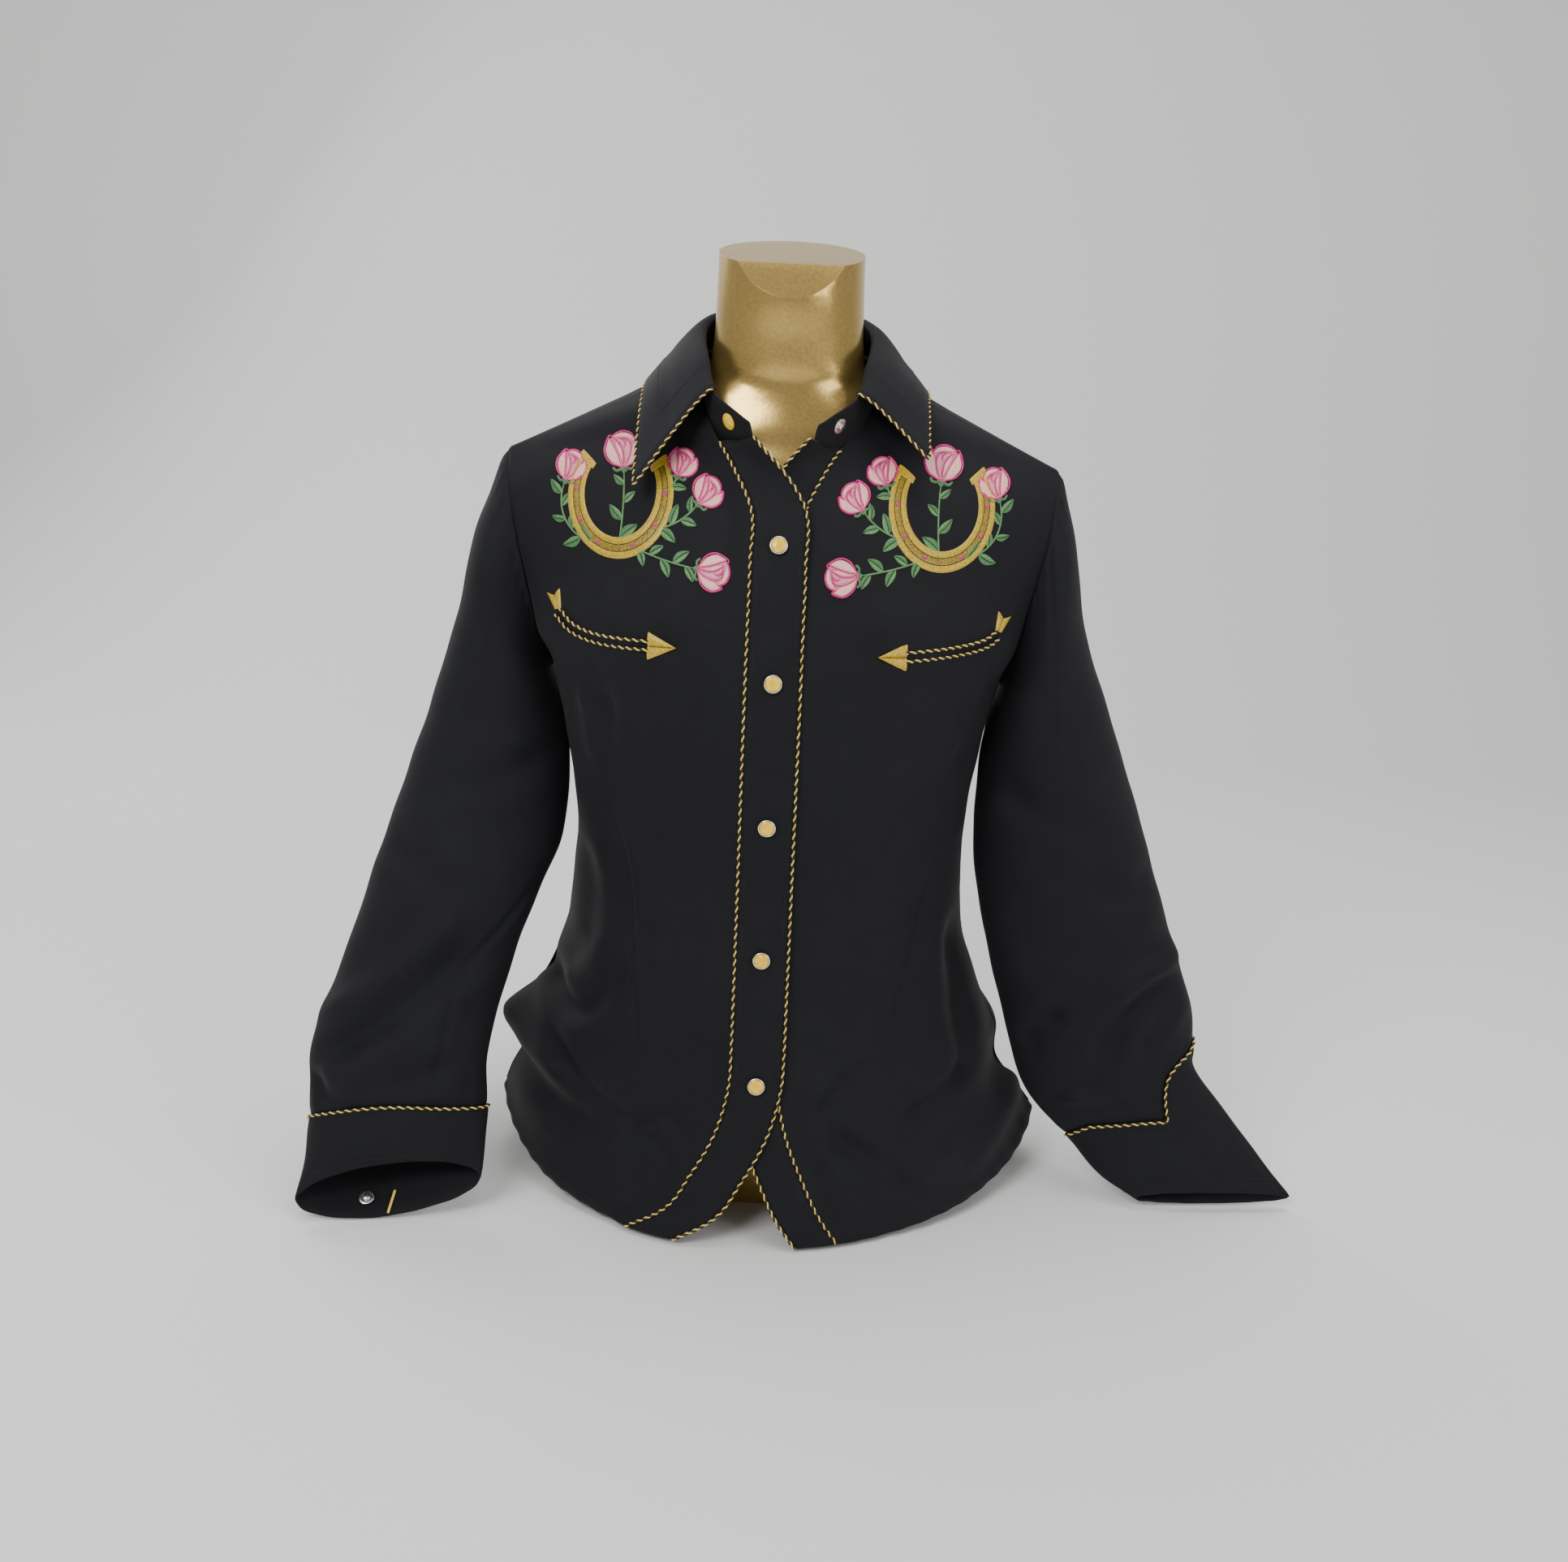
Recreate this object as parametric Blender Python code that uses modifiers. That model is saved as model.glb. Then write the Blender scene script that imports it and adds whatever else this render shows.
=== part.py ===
"""A women's western snap shirt worn on a limbless gold dress form.

Metres, +Z up, +X to the viewer's right, the front faces -Y, the form stands on z = 0.
"over" is the wearer's right front (side -1), whose placket lies on top; "under" is side +1.
"""
import math

import bmesh
import bpy
import numpy as np
from mathutils import Vector

# ---- driving dimensions -------------------------------------------------------------------
CLOTH = 0.0012          # wall of one cotton twill panel
BAND = 0.0016           # wall of a folded, fused band: placket, stand, cuff, collar
SEAM = 0.0003           # gap between pieces
HALF_BAND = 0.0175      # half the width of the over placket
HALF_UNDER = 0.0147     # half the width of the under placket
CORD_RADIUS = 0.0011    # twisted piping
CORD_GAP = 0.00045      # gap beside a cord
TIP_V = 0.68            # row at which the side seam ends and the armhole starts
PLACKET_TOP_V = 0.925   # row at which the placket meets the collar stand
BACK_NECK_V = 0.94      # row at which the back's centre line ends at the neckline
CUFF_START = 0.86       # sleeve position of the cuff's top edge
CUFF_GAP = 0.0026       # gap above the cuff, as a share of the sleeve's length
SNAP_HEIGHTS = (0.500, 0.411, 0.310, 0.211, 0.117)
NECK_CAP = 0.717        # height of the back edge of the neck's slanted cap
NECK_FACET = (0.0, -0.040, 0.692)   # a point on the neck's front facet
MM = 0.001

# ---- front: one row per cross section, from the hem up -------------------------------------
# v, start (x, y, z) on the placket's centre line, lead (x, y, z) from it,
# end x on the over and the under side, end (y, z), trail (x, y, z) back from the end
FRONT_ROWS = (
    (0.000, 0.000, -0.1710, 0.0013, 0.092, 0.000, 0.000, 0.207, 0.226, 0.000, 0.046, -0.020, -0.085, -0.048),
    (0.050, 0.000, -0.1600, 0.0300, 0.090, 0.000, 0.000, 0.199, 0.206, 0.000, 0.070, -0.010, -0.085, -0.030),
    (0.100, 0.000, -0.1510, 0.0600, 0.088, 0.000, 0.000, 0.190, 0.190, 0.000, 0.092, -0.004, -0.080, -0.020),
    (0.160, 0.000, -0.1430, 0.0970, 0.086, 0.000, 0.000, 0.190, 0.183, 0.000, 0.120, 0.000, -0.078, -0.014),
    (0.220, 0.000, -0.1380, 0.1330, 0.085, 0.000, 0.000, 0.173, 0.172, 0.000, 0.148, 0.000, -0.075, -0.010),
    (0.300, 0.000, -0.1340, 0.1820, 0.084, 0.000, 0.000, 0.157, 0.158, 0.000, 0.190, 0.000, -0.072, -0.005),
    (0.400, 0.000, -0.1340, 0.2420, 0.082, 0.000, 0.000, 0.149, 0.151, 0.000, 0.245, 0.000, -0.072, 0.000),
    (0.500, 0.000, -0.1380, 0.3030, 0.083, 0.000, 0.000, 0.150, 0.153, 0.000, 0.300, 0.000, -0.075, 0.000),
    (0.600, 0.000, -0.1430, 0.3600, 0.086, 0.000, 0.000, 0.158, 0.160, 0.000, 0.352, 0.000, -0.078, 0.000),
    (0.665, 0.000, -0.1433, 0.3990, 0.088, 0.000, 0.000, 0.166, 0.168, 0.000, 0.3885, 0.000, -0.080, 0.002),
    (0.680, 0.000, -0.1430, 0.4080, 0.088, 0.000, 0.000, 0.168, 0.170, 0.000, 0.398, 0.000, -0.080, 0.002),
    (0.740, 0.000, -0.1360, 0.4460, 0.086, 0.000, 0.000, 0.177, 0.178, -0.030, 0.426, -0.008, -0.060, 0.006),
    (0.800, 0.000, -0.1240, 0.4880, 0.080, 0.000, 0.000, 0.185, 0.186, -0.038, 0.463, -0.030, -0.042, 0.010),
    (0.865, 0.002, -0.1070, 0.5270, 0.066, 0.004, 0.000, 0.195, 0.196, -0.033, 0.503, -0.042, -0.028, 0.013),
    (0.925, 0.030, -0.0800, 0.5730, 0.018, 0.022, -0.008, 0.202, 0.202, -0.018, 0.533, -0.050, -0.028, 0.018),
    (0.950, 0.043, -0.0620, 0.5830, 0.026, 0.012, -0.010, 0.204, 0.204, -0.010, 0.544, -0.050, -0.014, 0.021),
    (0.975, 0.064, -0.0330, 0.6035, 0.036, 0.002, -0.014, 0.205, 0.205, -0.004, 0.551, -0.050, -0.006, 0.022),
    (1.000, 0.0715, 0.0040, 0.6205, 0.042, 0.000, -0.0195, 0.206, 0.206, 0.001, 0.556, -0.050, 0.000, 0.0232),
)
# v, sideways shift of the placket's centre line on the over and the under side,
# height of the over placket above the front surface
BAND_ROWS = (
    (0.00, 0.078, 0.050, 0.0032),
    (0.03, 0.048, 0.036, 0.0032),
    (0.08, 0.026, 0.020, 0.0032),
    (0.13, 0.010, 0.007, 0.0033),
    (0.19, 0.001, -0.001, 0.0035),
    (0.24, 0.000, -0.0028, 0.0037),
    (0.28, 0.000, -0.0028, 0.0037),
    (0.74, 0.000, -0.0028, 0.0037),
    (0.78, 0.000, -0.0028, 0.0042),
    (0.86, 0.000, 0.0000, 0.0058),
    (0.90, 0.000, 0.0000, 0.0056),
    (0.93, 0.000, 0.0000, 0.0050),
    (1.00, 0.000, 0.0000, 0.0050),
)
# v, start (x, y, z) at the centre back, lead (x, z), end (y, z), trail (x, y, z)
BACK_ROWS = (
    (0.000, 0.000, 0.150, 0.0040, 0.100, 0.000, 0.000, 0.046, -0.014, 0.085, -0.040),
    (0.050, 0.000, 0.146, 0.0340, 0.098, 0.000, 0.000, 0.070, -0.008, 0.083, -0.028),
    (0.100, 0.000, 0.143, 0.0640, 0.096, 0.000, 0.000, 0.092, -0.004, 0.080, -0.020),
    (0.160, 0.000, 0.140, 0.0980, 0.092, 0.000, 0.000, 0.120, 0.000, 0.076, -0.014),
    (0.220, 0.000, 0.134, 0.1340, 0.090, 0.000, 0.000, 0.148, 0.000, 0.072, -0.010),
    (0.300, 0.000, 0.120, 0.1820, 0.086, 0.000, 0.000, 0.190, 0.000, 0.066, -0.005),
    (0.400, 0.000, 0.107, 0.2420, 0.083, 0.000, 0.000, 0.245, 0.000, 0.060, 0.000),
    (0.500, 0.000, 0.105, 0.3030, 0.085, 0.000, 0.000, 0.300, 0.000, 0.060, 0.000),
    (0.600, 0.000, 0.110, 0.3600, 0.090, 0.000, 0.000, 0.352, 0.000, 0.064, 0.000),
    (0.665, 0.000, 0.1143, 0.3990, 0.094, 0.000, 0.000, 0.3885, 0.000, 0.068, 0.002),
    (0.680, 0.000, 0.115, 0.4080, 0.094, 0.000, 0.000, 0.398, 0.000, 0.068, 0.002),
    (0.740, 0.000, 0.117, 0.4480, 0.094, 0.000, 0.030, 0.426, -0.006, 0.054, 0.006),
    (0.800, 0.000, 0.116, 0.4940, 0.090, 0.000, 0.040, 0.463, -0.026, 0.042, 0.010),
    (0.865, 0.000, 0.109, 0.5450, 0.080, 0.000, 0.036, 0.503, -0.040, 0.030, 0.013),
    (0.910, 0.000, 0.098, 0.5860, 0.068, 0.000, 0.026, 0.526, -0.050, 0.022, 0.017),
    (0.940, 0.000, 0.070, 0.6370, 0.056, -0.016, 0.018, 0.538, -0.050, 0.016, 0.016),
    (0.965, 0.037, 0.0605, 0.6375, 0.040, -0.024, 0.010, 0.547, -0.050, 0.008, 0.019),
    (0.985, 0.063, 0.0340, 0.6300, 0.036, -0.020, 0.005, 0.5525, -0.050, 0.003, 0.022),
    (1.000, 0.0715, 0.0046, 0.6205, 0.040, -0.0186, 0.0016, 0.556, -0.050, 0.000, 0.0232),
)
# soft ridges (+) and troughs (-) of the cloth, each along a straight line in space:
# side (-1 over, +1 under), from (x, y, z), to (x, y, z), width, depth; x is outward
FOLDS = (
    (-1, 0.193, -0.006, 0.114, 0.150, -0.100, 0.094, 0.017, 0.009),
    (-1, 0.196, -0.010, 0.085, 0.130, -0.120, 0.078, 0.014, -0.006),
    (-1, 0.165, -0.030, 0.160, 0.140, -0.070, 0.195, 0.018, -0.005),
    (-1, 0.193, -0.006, 0.114, 0.110, 0.125, 0.105, 0.018, 0.007),
    (-1, 0.168, 0.040, 0.155, 0.080, 0.120, 0.200, 0.020, -0.005),
    (1, 0.158, -0.060, 0.190, 0.165, -0.070, 0.110, 0.016, -0.006),
    (1, 0.184, 0.020, 0.135, 0.184, 0.010, 0.115, 0.018, 0.006),
    (1, 0.130, -0.120, 0.050, 0.210, -0.020, 0.070, 0.018, 0.005),
    (1, 0.190, 0.030, 0.120, 0.110, 0.125, 0.095, 0.018, 0.007),
    (1, 0.166, 0.040, 0.160, 0.070, 0.120, 0.215, 0.020, -0.005),
)
# the fullness that a bust dart gives: x, y, z, radius, height
BUST = (0.085, -0.125, 0.425, 0.055, 0.007)

# ---- sleeves: one row per ring below the armhole --------------------------------------------
# s, centre (x, y, z), half axis to the outer contour (x, y, z), half axis to the front (x, y, z)
SLEEVE_OVER = (
    (0.09, 0.1995, 0.000, 0.4460, 0.0265, 0.000, 0.0560, 0.000, -0.0500, 0.000),
    (0.19, 0.2005, -0.008, 0.3950, 0.0390, 0.000, 0.0400, 0.000, -0.0500, 0.002),
    (0.30, 0.2090, -0.018, 0.3350, 0.0530, 0.000, 0.0200, 0.000, -0.0460, 0.010),
    (0.42, 0.2205, -0.032, 0.2800, 0.0620, 0.000, 0.0100, 0.000, -0.0400, 0.014),
    (0.55, 0.2380, -0.055, 0.2250, 0.0620, 0.000, 0.0020, 0.000, -0.0360, 0.013),
    (0.66, 0.2560, -0.078, 0.1650, 0.0620, 0.000, 0.0000, 0.000, -0.0310, 0.012),
    (0.77, 0.2685, -0.099, 0.1125, 0.0650, 0.000, -0.0010, 0.000, -0.0270, 0.011),
    (0.86, 0.2655, -0.113, 0.0750, 0.0640, -0.002, -0.0030, 0.000, -0.0220, 0.012),
    (0.93, 0.2655, -0.128, 0.0440, 0.0640, -0.004, -0.0060, 0.000, -0.0130, 0.017),
    (1.00, 0.2665, -0.143, 0.0235, 0.0640, -0.010, -0.0080, 0.002, 0.0030, 0.0190),
)
SLEEVE_UNDER = (
    (0.09, 0.1980, 0.000, 0.4480, 0.0230, 0.000, 0.0570, 0.000, -0.0500, 0.000),
    (0.19, 0.1985, -0.006, 0.4010, 0.0335, 0.000, 0.0390, 0.000, -0.0490, 0.000),
    (0.30, 0.2080, -0.014, 0.3475, 0.0475, 0.000, 0.0280, 0.000, -0.0460, 0.003),
    (0.42, 0.2205, -0.020, 0.2880, 0.0600, 0.000, 0.0190, 0.003, -0.0420, 0.005),
    (0.55, 0.2400, -0.032, 0.2165, 0.0670, 0.000, 0.0110, 0.003, -0.0370, 0.006),
    (0.66, 0.2600, -0.040, 0.1535, 0.0720, 0.000, 0.0040, 0.003, -0.0320, 0.006),
    (0.77, 0.2740, -0.048, 0.1030, 0.0620, 0.000, 0.0200, 0.003, -0.0240, 0.008),
    (0.86, 0.2940, -0.056, 0.0750, 0.0480, 0.001, 0.0260, 0.002, -0.0160, 0.007),
    (0.93, 0.3285, -0.066, 0.0370, 0.0560, 0.003, 0.0130, 0.001, -0.0090, 0.007),
    (1.00, 0.3580, -0.075, 0.0100, 0.0600, 0.005, 0.0000, 0.000, -0.0030, 0.0062),
)
# cuff top edges: angle round the sleeve in turns (0 outer, .25 front), rise above CUFF_START
CUFF_EDGE_OVER = ((0.00, 0.012), (0.12, 0.010), (0.25, 0.004), (0.35, 0.007), (0.50, -0.002),
                  (0.62, -0.02), (0.75, -0.12), (0.88, -0.02), (1.00, 0.012))
CUFF_EDGE_UNDER = ((0.00, -0.125), (0.111, -0.070), (0.222, 0.026), (0.30, 0.012), (0.38, -0.006),
                   (0.50, -0.006), (0.66, 0.004), (0.834, 0.012), (1.00, -0.125))

# ---- collar: one row per station from the centre back (0) to the front end (1) ---------------
# w, stand base (x, y, z), stand top (x, y, z)
STAND_ROWS = (
    (0.00, 0.000, 0.0695, 0.6395, 0.000, 0.0600, 0.6620),
    (0.25, 0.038, 0.0605, 0.6390, 0.034, 0.0530, 0.6610),
    (0.50, 0.064, 0.0335, 0.6325, 0.057, 0.0290, 0.6550),
    (0.65, 0.0715, 0.0040, 0.6224, 0.0620, 0.0040, 0.6440),
    (0.81, 0.0640, -0.034, 0.6054, 0.0570, -0.0400, 0.6230),
    (0.90, 0.0510, -0.059, 0.5830, 0.0500, -0.0660, 0.6030),
    (0.935, 0.0405, -0.069, 0.5725, 0.0430, -0.0790, 0.5970),
    (0.965, 0.0300, -0.082, 0.5755, 0.0340, -0.0900, 0.5910),
    (1.00, 0.0205, -0.094, 0.5795, 0.0240, -0.0965, 0.5845),
)
# w, roll and rise of the fold, then the outer edge (x, y, z) over and under
FALL_ROWS = (
    (0.00, 0.010, 0.006, 0.000, 0.094, 0.6300, 0.000, 0.094, 0.6300),
    (0.25, 0.010, 0.006, 0.052, 0.085, 0.6280, 0.052, 0.085, 0.6280),
    (0.50, 0.010, 0.006, 0.090, 0.048, 0.6180, 0.090, 0.048, 0.6180),
    (0.65, 0.010, 0.005, 0.1020, 0.006, 0.6105, 0.1020, 0.006, 0.6105),
    (0.78, 0.009, 0.004, 0.1030, -0.040, 0.5900, 0.1020, -0.036, 0.5980),
    (0.90, 0.008, 0.003, 0.1020, -0.094, 0.5370, 0.1010, -0.082, 0.5630),
)
FALL_END = 0.90

# ---- smile pockets: x and z of the cord's points in front view -----------------------------
POCKET_OVER = ((0.1550, 0.4450), (0.1430, 0.4360), (0.1220, 0.4315), (0.0860, 0.4310))
POCKET_UNDER = ((0.1580, 0.4420), (0.1480, 0.4365), (0.1260, 0.4330), (0.0900, 0.4305))
POCKET_CORD_STEP = 0.0058
ARROW_LENGTH = 0.020
ARROW_WIDTH = 0.018

# ---- dress form: z, half width, front depth, back depth, squareness -------------------------
FORM_RINGS = (
    (0.000, 0.146, 0.096, 0.112, 2.2),
    (0.060, 0.154, 0.104, 0.118, 2.2),
    (0.120, 0.152, 0.104, 0.116, 2.2),
    (0.190, 0.130, 0.094, 0.096, 2.2),
    (0.255, 0.118, 0.088, 0.080, 2.2),
    (0.320, 0.126, 0.100, 0.084, 2.2),
    (0.380, 0.138, 0.120, 0.090, 2.2),
    (0.430, 0.146, 0.122, 0.096, 2.2),
    (0.480, 0.156, 0.100, 0.096, 2.2),
    (0.520, 0.168, 0.080, 0.088, 2.2),
    (0.548, 0.175, 0.062, 0.076, 1.9),
    (0.562, 0.169, 0.055, 0.070, 1.8),
    (0.580, 0.144, 0.052, 0.062, 1.7),
    (0.598, 0.102, 0.048, 0.057, 1.7),
    (0.610, 0.0700, 0.047, 0.053, 1.8),
    (0.622, 0.0590, 0.049, 0.051, 1.9),
    (0.640, 0.0550, 0.051, 0.050, 2.0),
    (0.665, 0.0540, 0.055, 0.049, 2.0),
    (0.740, 0.0525, 0.055, 0.050, 2.0),
)

# ---- rows of the panels' grids, from the hem up --------------------------------------------
FRONT_V = np.array([0.003, 0.02, 0.04, 0.07, 0.10, 0.13, 0.16, 0.20, 0.25, 0.31, 0.38, 0.45, 0.52, 0.59,
                    0.64, 0.68, 0.72, 0.76, 0.80, 0.84, 0.87, 0.895, 0.92, 0.95, 0.975, 0.9995])
BAND_V = FRONT_V[FRONT_V < PLACKET_TOP_V]
BACK_V = np.array([0.003, 0.05, 0.10, 0.15, 0.20, 0.25, 0.31, 0.38, 0.45, 0.52, 0.59, 0.64, 0.68,
                   0.73, 0.78, 0.83, 0.88, 0.91, 0.94, 0.965, 0.985, 0.9995])

# ---- snaps: (radius, height) pairs in millimetres ------------------------------------------
RIM_PROFILE = ((0, 0), (5.6, 0), (6.3, 0.7), (6.3, 1.7), (5.9, 2.1), (5.4, 1.9), (5.3, 1.1), (0, 1.1))
PEARL_PROFILE = ((0, 1.4), (4.9, 1.4), (5.0, 2.0), (4.0, 2.7), (2.2, 3.1), (0, 3.2))
NECK_SNAP_PROFILE = ((0, 0), (5.6, 0), (6.2, 0.8), (5.4, 1.9), (2.6, 2.4), (0, 2.5))


# ---- curves and surfaces --------------------------------------------------------------------
def smooth(table, x):
    """Column values of a table at x, by a curve through its rows."""
    rows = np.asarray(table, float)
    keys, values = rows[:, 0], rows[:, 1:]
    steps = np.diff(keys)[:, None]
    slopes = np.diff(values, axis=0) / steps
    tangents = np.vstack([slopes[:1], (slopes[:-1] * steps[1:] + slopes[1:] * steps[:-1])
                          / (steps[1:] + steps[:-1]), slopes[-1:]])
    x = np.clip(np.asarray(x, float), keys[0], keys[-1])
    i = np.clip(np.searchsorted(keys, x, side="right") - 1, 0, len(keys) - 2)
    h = (keys[i + 1] - keys[i])[..., None]
    t = (x - keys[i])[..., None] / h
    return ((2 * t**3 - 3 * t**2 + 1) * values[i] + (t**3 - 2 * t**2 + t) * h * tangents[i]
            + (3 * t**2 - 2 * t**3) * values[i + 1] + (t**3 - t**2) * h * tangents[i + 1])


def bezier(controls, t):
    """Points of cubic curves at t; controls are (..., 4, 3)."""
    t = np.asarray(t, float)[..., None]
    p = [controls[..., k, :] for k in range(4)]
    return (1 - t)**3 * p[0] + 3 * (1 - t)**2 * t * p[1] + 3 * (1 - t) * t**2 * p[2] + t**3 * p[3]


def front_controls(side, v):
    """The cross-section curves of the front at v, x outward."""
    c = smooth(FRONT_ROWS, v)
    shift = smooth(BAND_ROWS, v)[..., 0 if side < 0 else 1]
    start = c[..., 0:3]
    end_y = np.where(v < TIP_V, 0.0, c[..., 8])
    end = np.stack([c[..., 6 if side < 0 else 7], end_y, c[..., 9]], -1)
    lead, trail = c[..., 3:6], c[..., 10:13]
    return np.stack([start, start + lead, end + trail, end], -2), shift


def back_controls(side, v):
    """The cross-section curves of the back at v, x outward."""
    c = smooth(BACK_ROWS, v)
    f = smooth(FRONT_ROWS, v)
    start_x = np.where(v < BACK_NECK_V + 1e-6, 0.0, c[..., 0])
    start = np.stack([start_x, c[..., 1], c[..., 2]], -1)
    end_y = np.where(v < TIP_V, 0.0, c[..., 5])
    end = np.stack([f[..., 6 if side < 0 else 7], end_y, c[..., 6]], -1)
    lead = np.stack([c[..., 3], 0 * c[..., 3], c[..., 4]], -1)
    return np.stack([start, start + lead, end + c[..., 7:10], end], -2)


def at_length(controls, a, bend=1.0):
    """Points at the arc length a along each curve; before its start the curve is mirrored,
    with its bend kept (1) or run out straight (0)."""
    t = np.linspace(0, 1, 49)
    line = bezier(controls[..., None, :, :], np.broadcast_to(t, controls.shape[:-2] + t.shape))
    steps = np.linalg.norm(np.diff(line, axis=-2), axis=-1)
    length = np.concatenate([np.zeros(steps.shape[:-1] + (1,)), np.cumsum(steps, -1)], -1)
    flat_a, flat_length = np.ravel(np.abs(a)), length.reshape(-1, len(t))
    found = np.array([np.interp(x, row, t) for x, row in zip(flat_a, flat_length)])
    start = controls[..., 0, :]
    reach = bezier(controls, found.reshape(np.shape(a))) - start
    first = controls[..., 1, :] - start
    first = first / np.linalg.norm(first, axis=-1, keepdims=True)
    ahead = np.sum(reach * first, -1, keepdims=True) * first
    before = start - first * np.abs(a)[..., None] + (reach - ahead) * np.asarray(bend)[..., None]
    return np.where((np.asarray(a) < 0)[..., None], before, start + reach), length[..., -1]


def fold_depth(points, side):
    """Outward move of the folds at points of the smooth surface."""
    depth = np.zeros(points.shape[:-1])
    for row in FOLDS:
        if row[0] != side:
            continue
        start, stop, width, height = np.array(row[1:4]), np.array(row[4:7]), row[7], row[8]
        run = stop - start
        t = np.clip((points - start) @ run / (run @ run), 0, 1)
        away = np.linalg.norm(points - start - t[..., None] * run, axis=-1)
        depth += height * np.exp(-(away / width)**2)
    bust_x, bust_y, bust_z, radius, height = BUST
    away = np.linalg.norm(points - np.array([bust_x, bust_y, bust_z]), axis=-1)
    return depth + height * np.exp(-(away / radius)**2)


def torso_point(side, face, a, v):
    """Point of the shirt's body: a metres of cloth from the centre line, v from hem to shoulder."""
    a, v = np.broadcast_arrays(np.asarray(a, float), np.asarray(v, float))
    if face < 0:
        controls, shift = front_controls(side, v)
        points, _ = at_length(controls, a + shift, 1 - np.clip((v - 0.78) / 0.08, 0, 1))
    else:
        points, _ = at_length(back_controls(side, v), a)
    outward = np.stack([points[..., 0], points[..., 1] * 1.3, 0 * points[..., 2]], -1)
    outward /= np.linalg.norm(outward, axis=-1, keepdims=True)
    points = points + outward * fold_depth(points, side)[..., None]
    points[..., 0] *= side
    points[..., 2] = np.maximum(points[..., 2], 0.0013)
    return points


def torso_length(side, face, v):
    """Cloth from the placket's centre line, or the centre back, to the side seam or armhole."""
    v = np.asarray(v, float)
    if face < 0:
        controls, shift = front_controls(side, v)
        return at_length(controls, np.zeros(v.shape))[1] - shift
    return at_length(back_controls(side, v), np.zeros(v.shape))[1]


def lifted(side, face, a, v, lift):
    """Torso points moved out along the surface normal."""
    step = 0.002
    a, v = np.broadcast_arrays(np.asarray(a, float), np.asarray(v, float))
    high, low = np.minimum(v + step, 1), np.maximum(v - step, 0)
    across = torso_point(side, face, a + step, v) - torso_point(side, face, a - step, v)
    along = torso_point(side, face, a, high) - torso_point(side, face, a, low)
    normal = np.cross(across, along) * side * -face
    normal /= np.linalg.norm(normal, axis=-1, keepdims=True)
    return torso_point(side, face, a, v) + normal * np.asarray(lift)[..., None]


def armhole(side, turn):
    """Armhole seam: turn 0 at the shoulder tip, 0.25 front, 0.5 armpit, 0.75 back."""
    turn = np.asarray(turn, float) % 1
    down = np.where(turn <= 0.5, turn, 1 - turn) * 2
    v = 1 - (1 - TIP_V) * down
    front = front_controls(side, v)[0][..., 3, :]
    back = back_controls(side, v)[..., 3, :]
    points = np.where((turn <= 0.5)[..., None], front, back)
    points[..., 0] += SEAM + 0.0022 * np.sin(np.pi * down / 2)
    return points


def sleeve_rings(side):
    return SLEEVE_OVER if side < 0 else SLEEVE_UNDER


def sleeve_point(side, turn, s):
    """Sleeve surface: turn round it (0 outer, 0.25 front), s from the armhole 0 to the hand 1."""
    turn, s = np.broadcast_arrays(np.asarray(turn, float), np.asarray(s, float))
    angle = 2 * np.pi * turn
    start = armhole(side, turn)
    stations = [0.0] + [row[0] for row in sleeve_rings(side)]
    rings = [start]
    for row in np.asarray(sleeve_rings(side), float):
        rings.append(row[1:4] + row[4:7] * np.cos(angle)[..., None] + row[7:10] * np.sin(angle)[..., None])
    rings = np.stack(rings)
    keys = np.array(stations)
    steps = np.diff(keys).reshape(-1, *[1] * (rings.ndim - 1))
    slopes = np.diff(rings, axis=0) / steps
    middle = (slopes[:-1] * steps[1:] + slopes[1:] * steps[:-1]) / (steps[1:] + steps[:-1])
    tangents = np.concatenate([slopes[:1], middle, slopes[-1:]])
    i = np.clip(np.searchsorted(keys, s, side="right") - 1, 0, len(keys) - 2)
    h = (keys[i + 1] - keys[i])[..., None]
    t = (s - keys[i])[..., None] / h
    low, low_slope, high, high_slope = (
        np.take_along_axis(stack, k[None, ..., None], 0)[0]
        for stack, k in ((rings, i), (tangents, i), (rings, i + 1), (tangents, i + 1)))
    points = ((2 * t**3 - 3 * t**2 + 1) * low + (t**3 - 2 * t**2 + t) * h * low_slope
              + (3 * t**2 - 2 * t**3) * high + (t**3 - t**2) * h * high_slope)
    points[..., 0] *= side
    return points


def sleeve_lifted(side, turn, s, lift):
    """Sleeve points moved out along the surface normal."""
    step = 0.004
    turn, s = np.broadcast_arrays(np.asarray(turn, float), np.asarray(s, float))
    around = sleeve_point(side, turn + step, s) - sleeve_point(side, turn - step, s)
    low, high = np.maximum(s - step, 0), np.minimum(s + step, 1)
    down = sleeve_point(side, turn, high) - sleeve_point(side, turn, low)
    normal = np.cross(around, down) * side
    normal /= np.linalg.norm(normal, axis=-1, keepdims=True)
    return sleeve_point(side, turn, s) + normal * np.asarray(lift)[..., None]


def cuff_edge(side, turn):
    """Sleeve position of the cuff's top edge at each turn."""
    table = CUFF_EDGE_OVER if side < 0 else CUFF_EDGE_UNDER
    keys, rises = zip(*table)
    if side < 0:
        return CUFF_START + smooth(table, np.asarray(turn, float) % 1)[..., 0]
    return CUFF_START + np.interp(np.asarray(turn, float) % 1, keys, rises)


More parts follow.
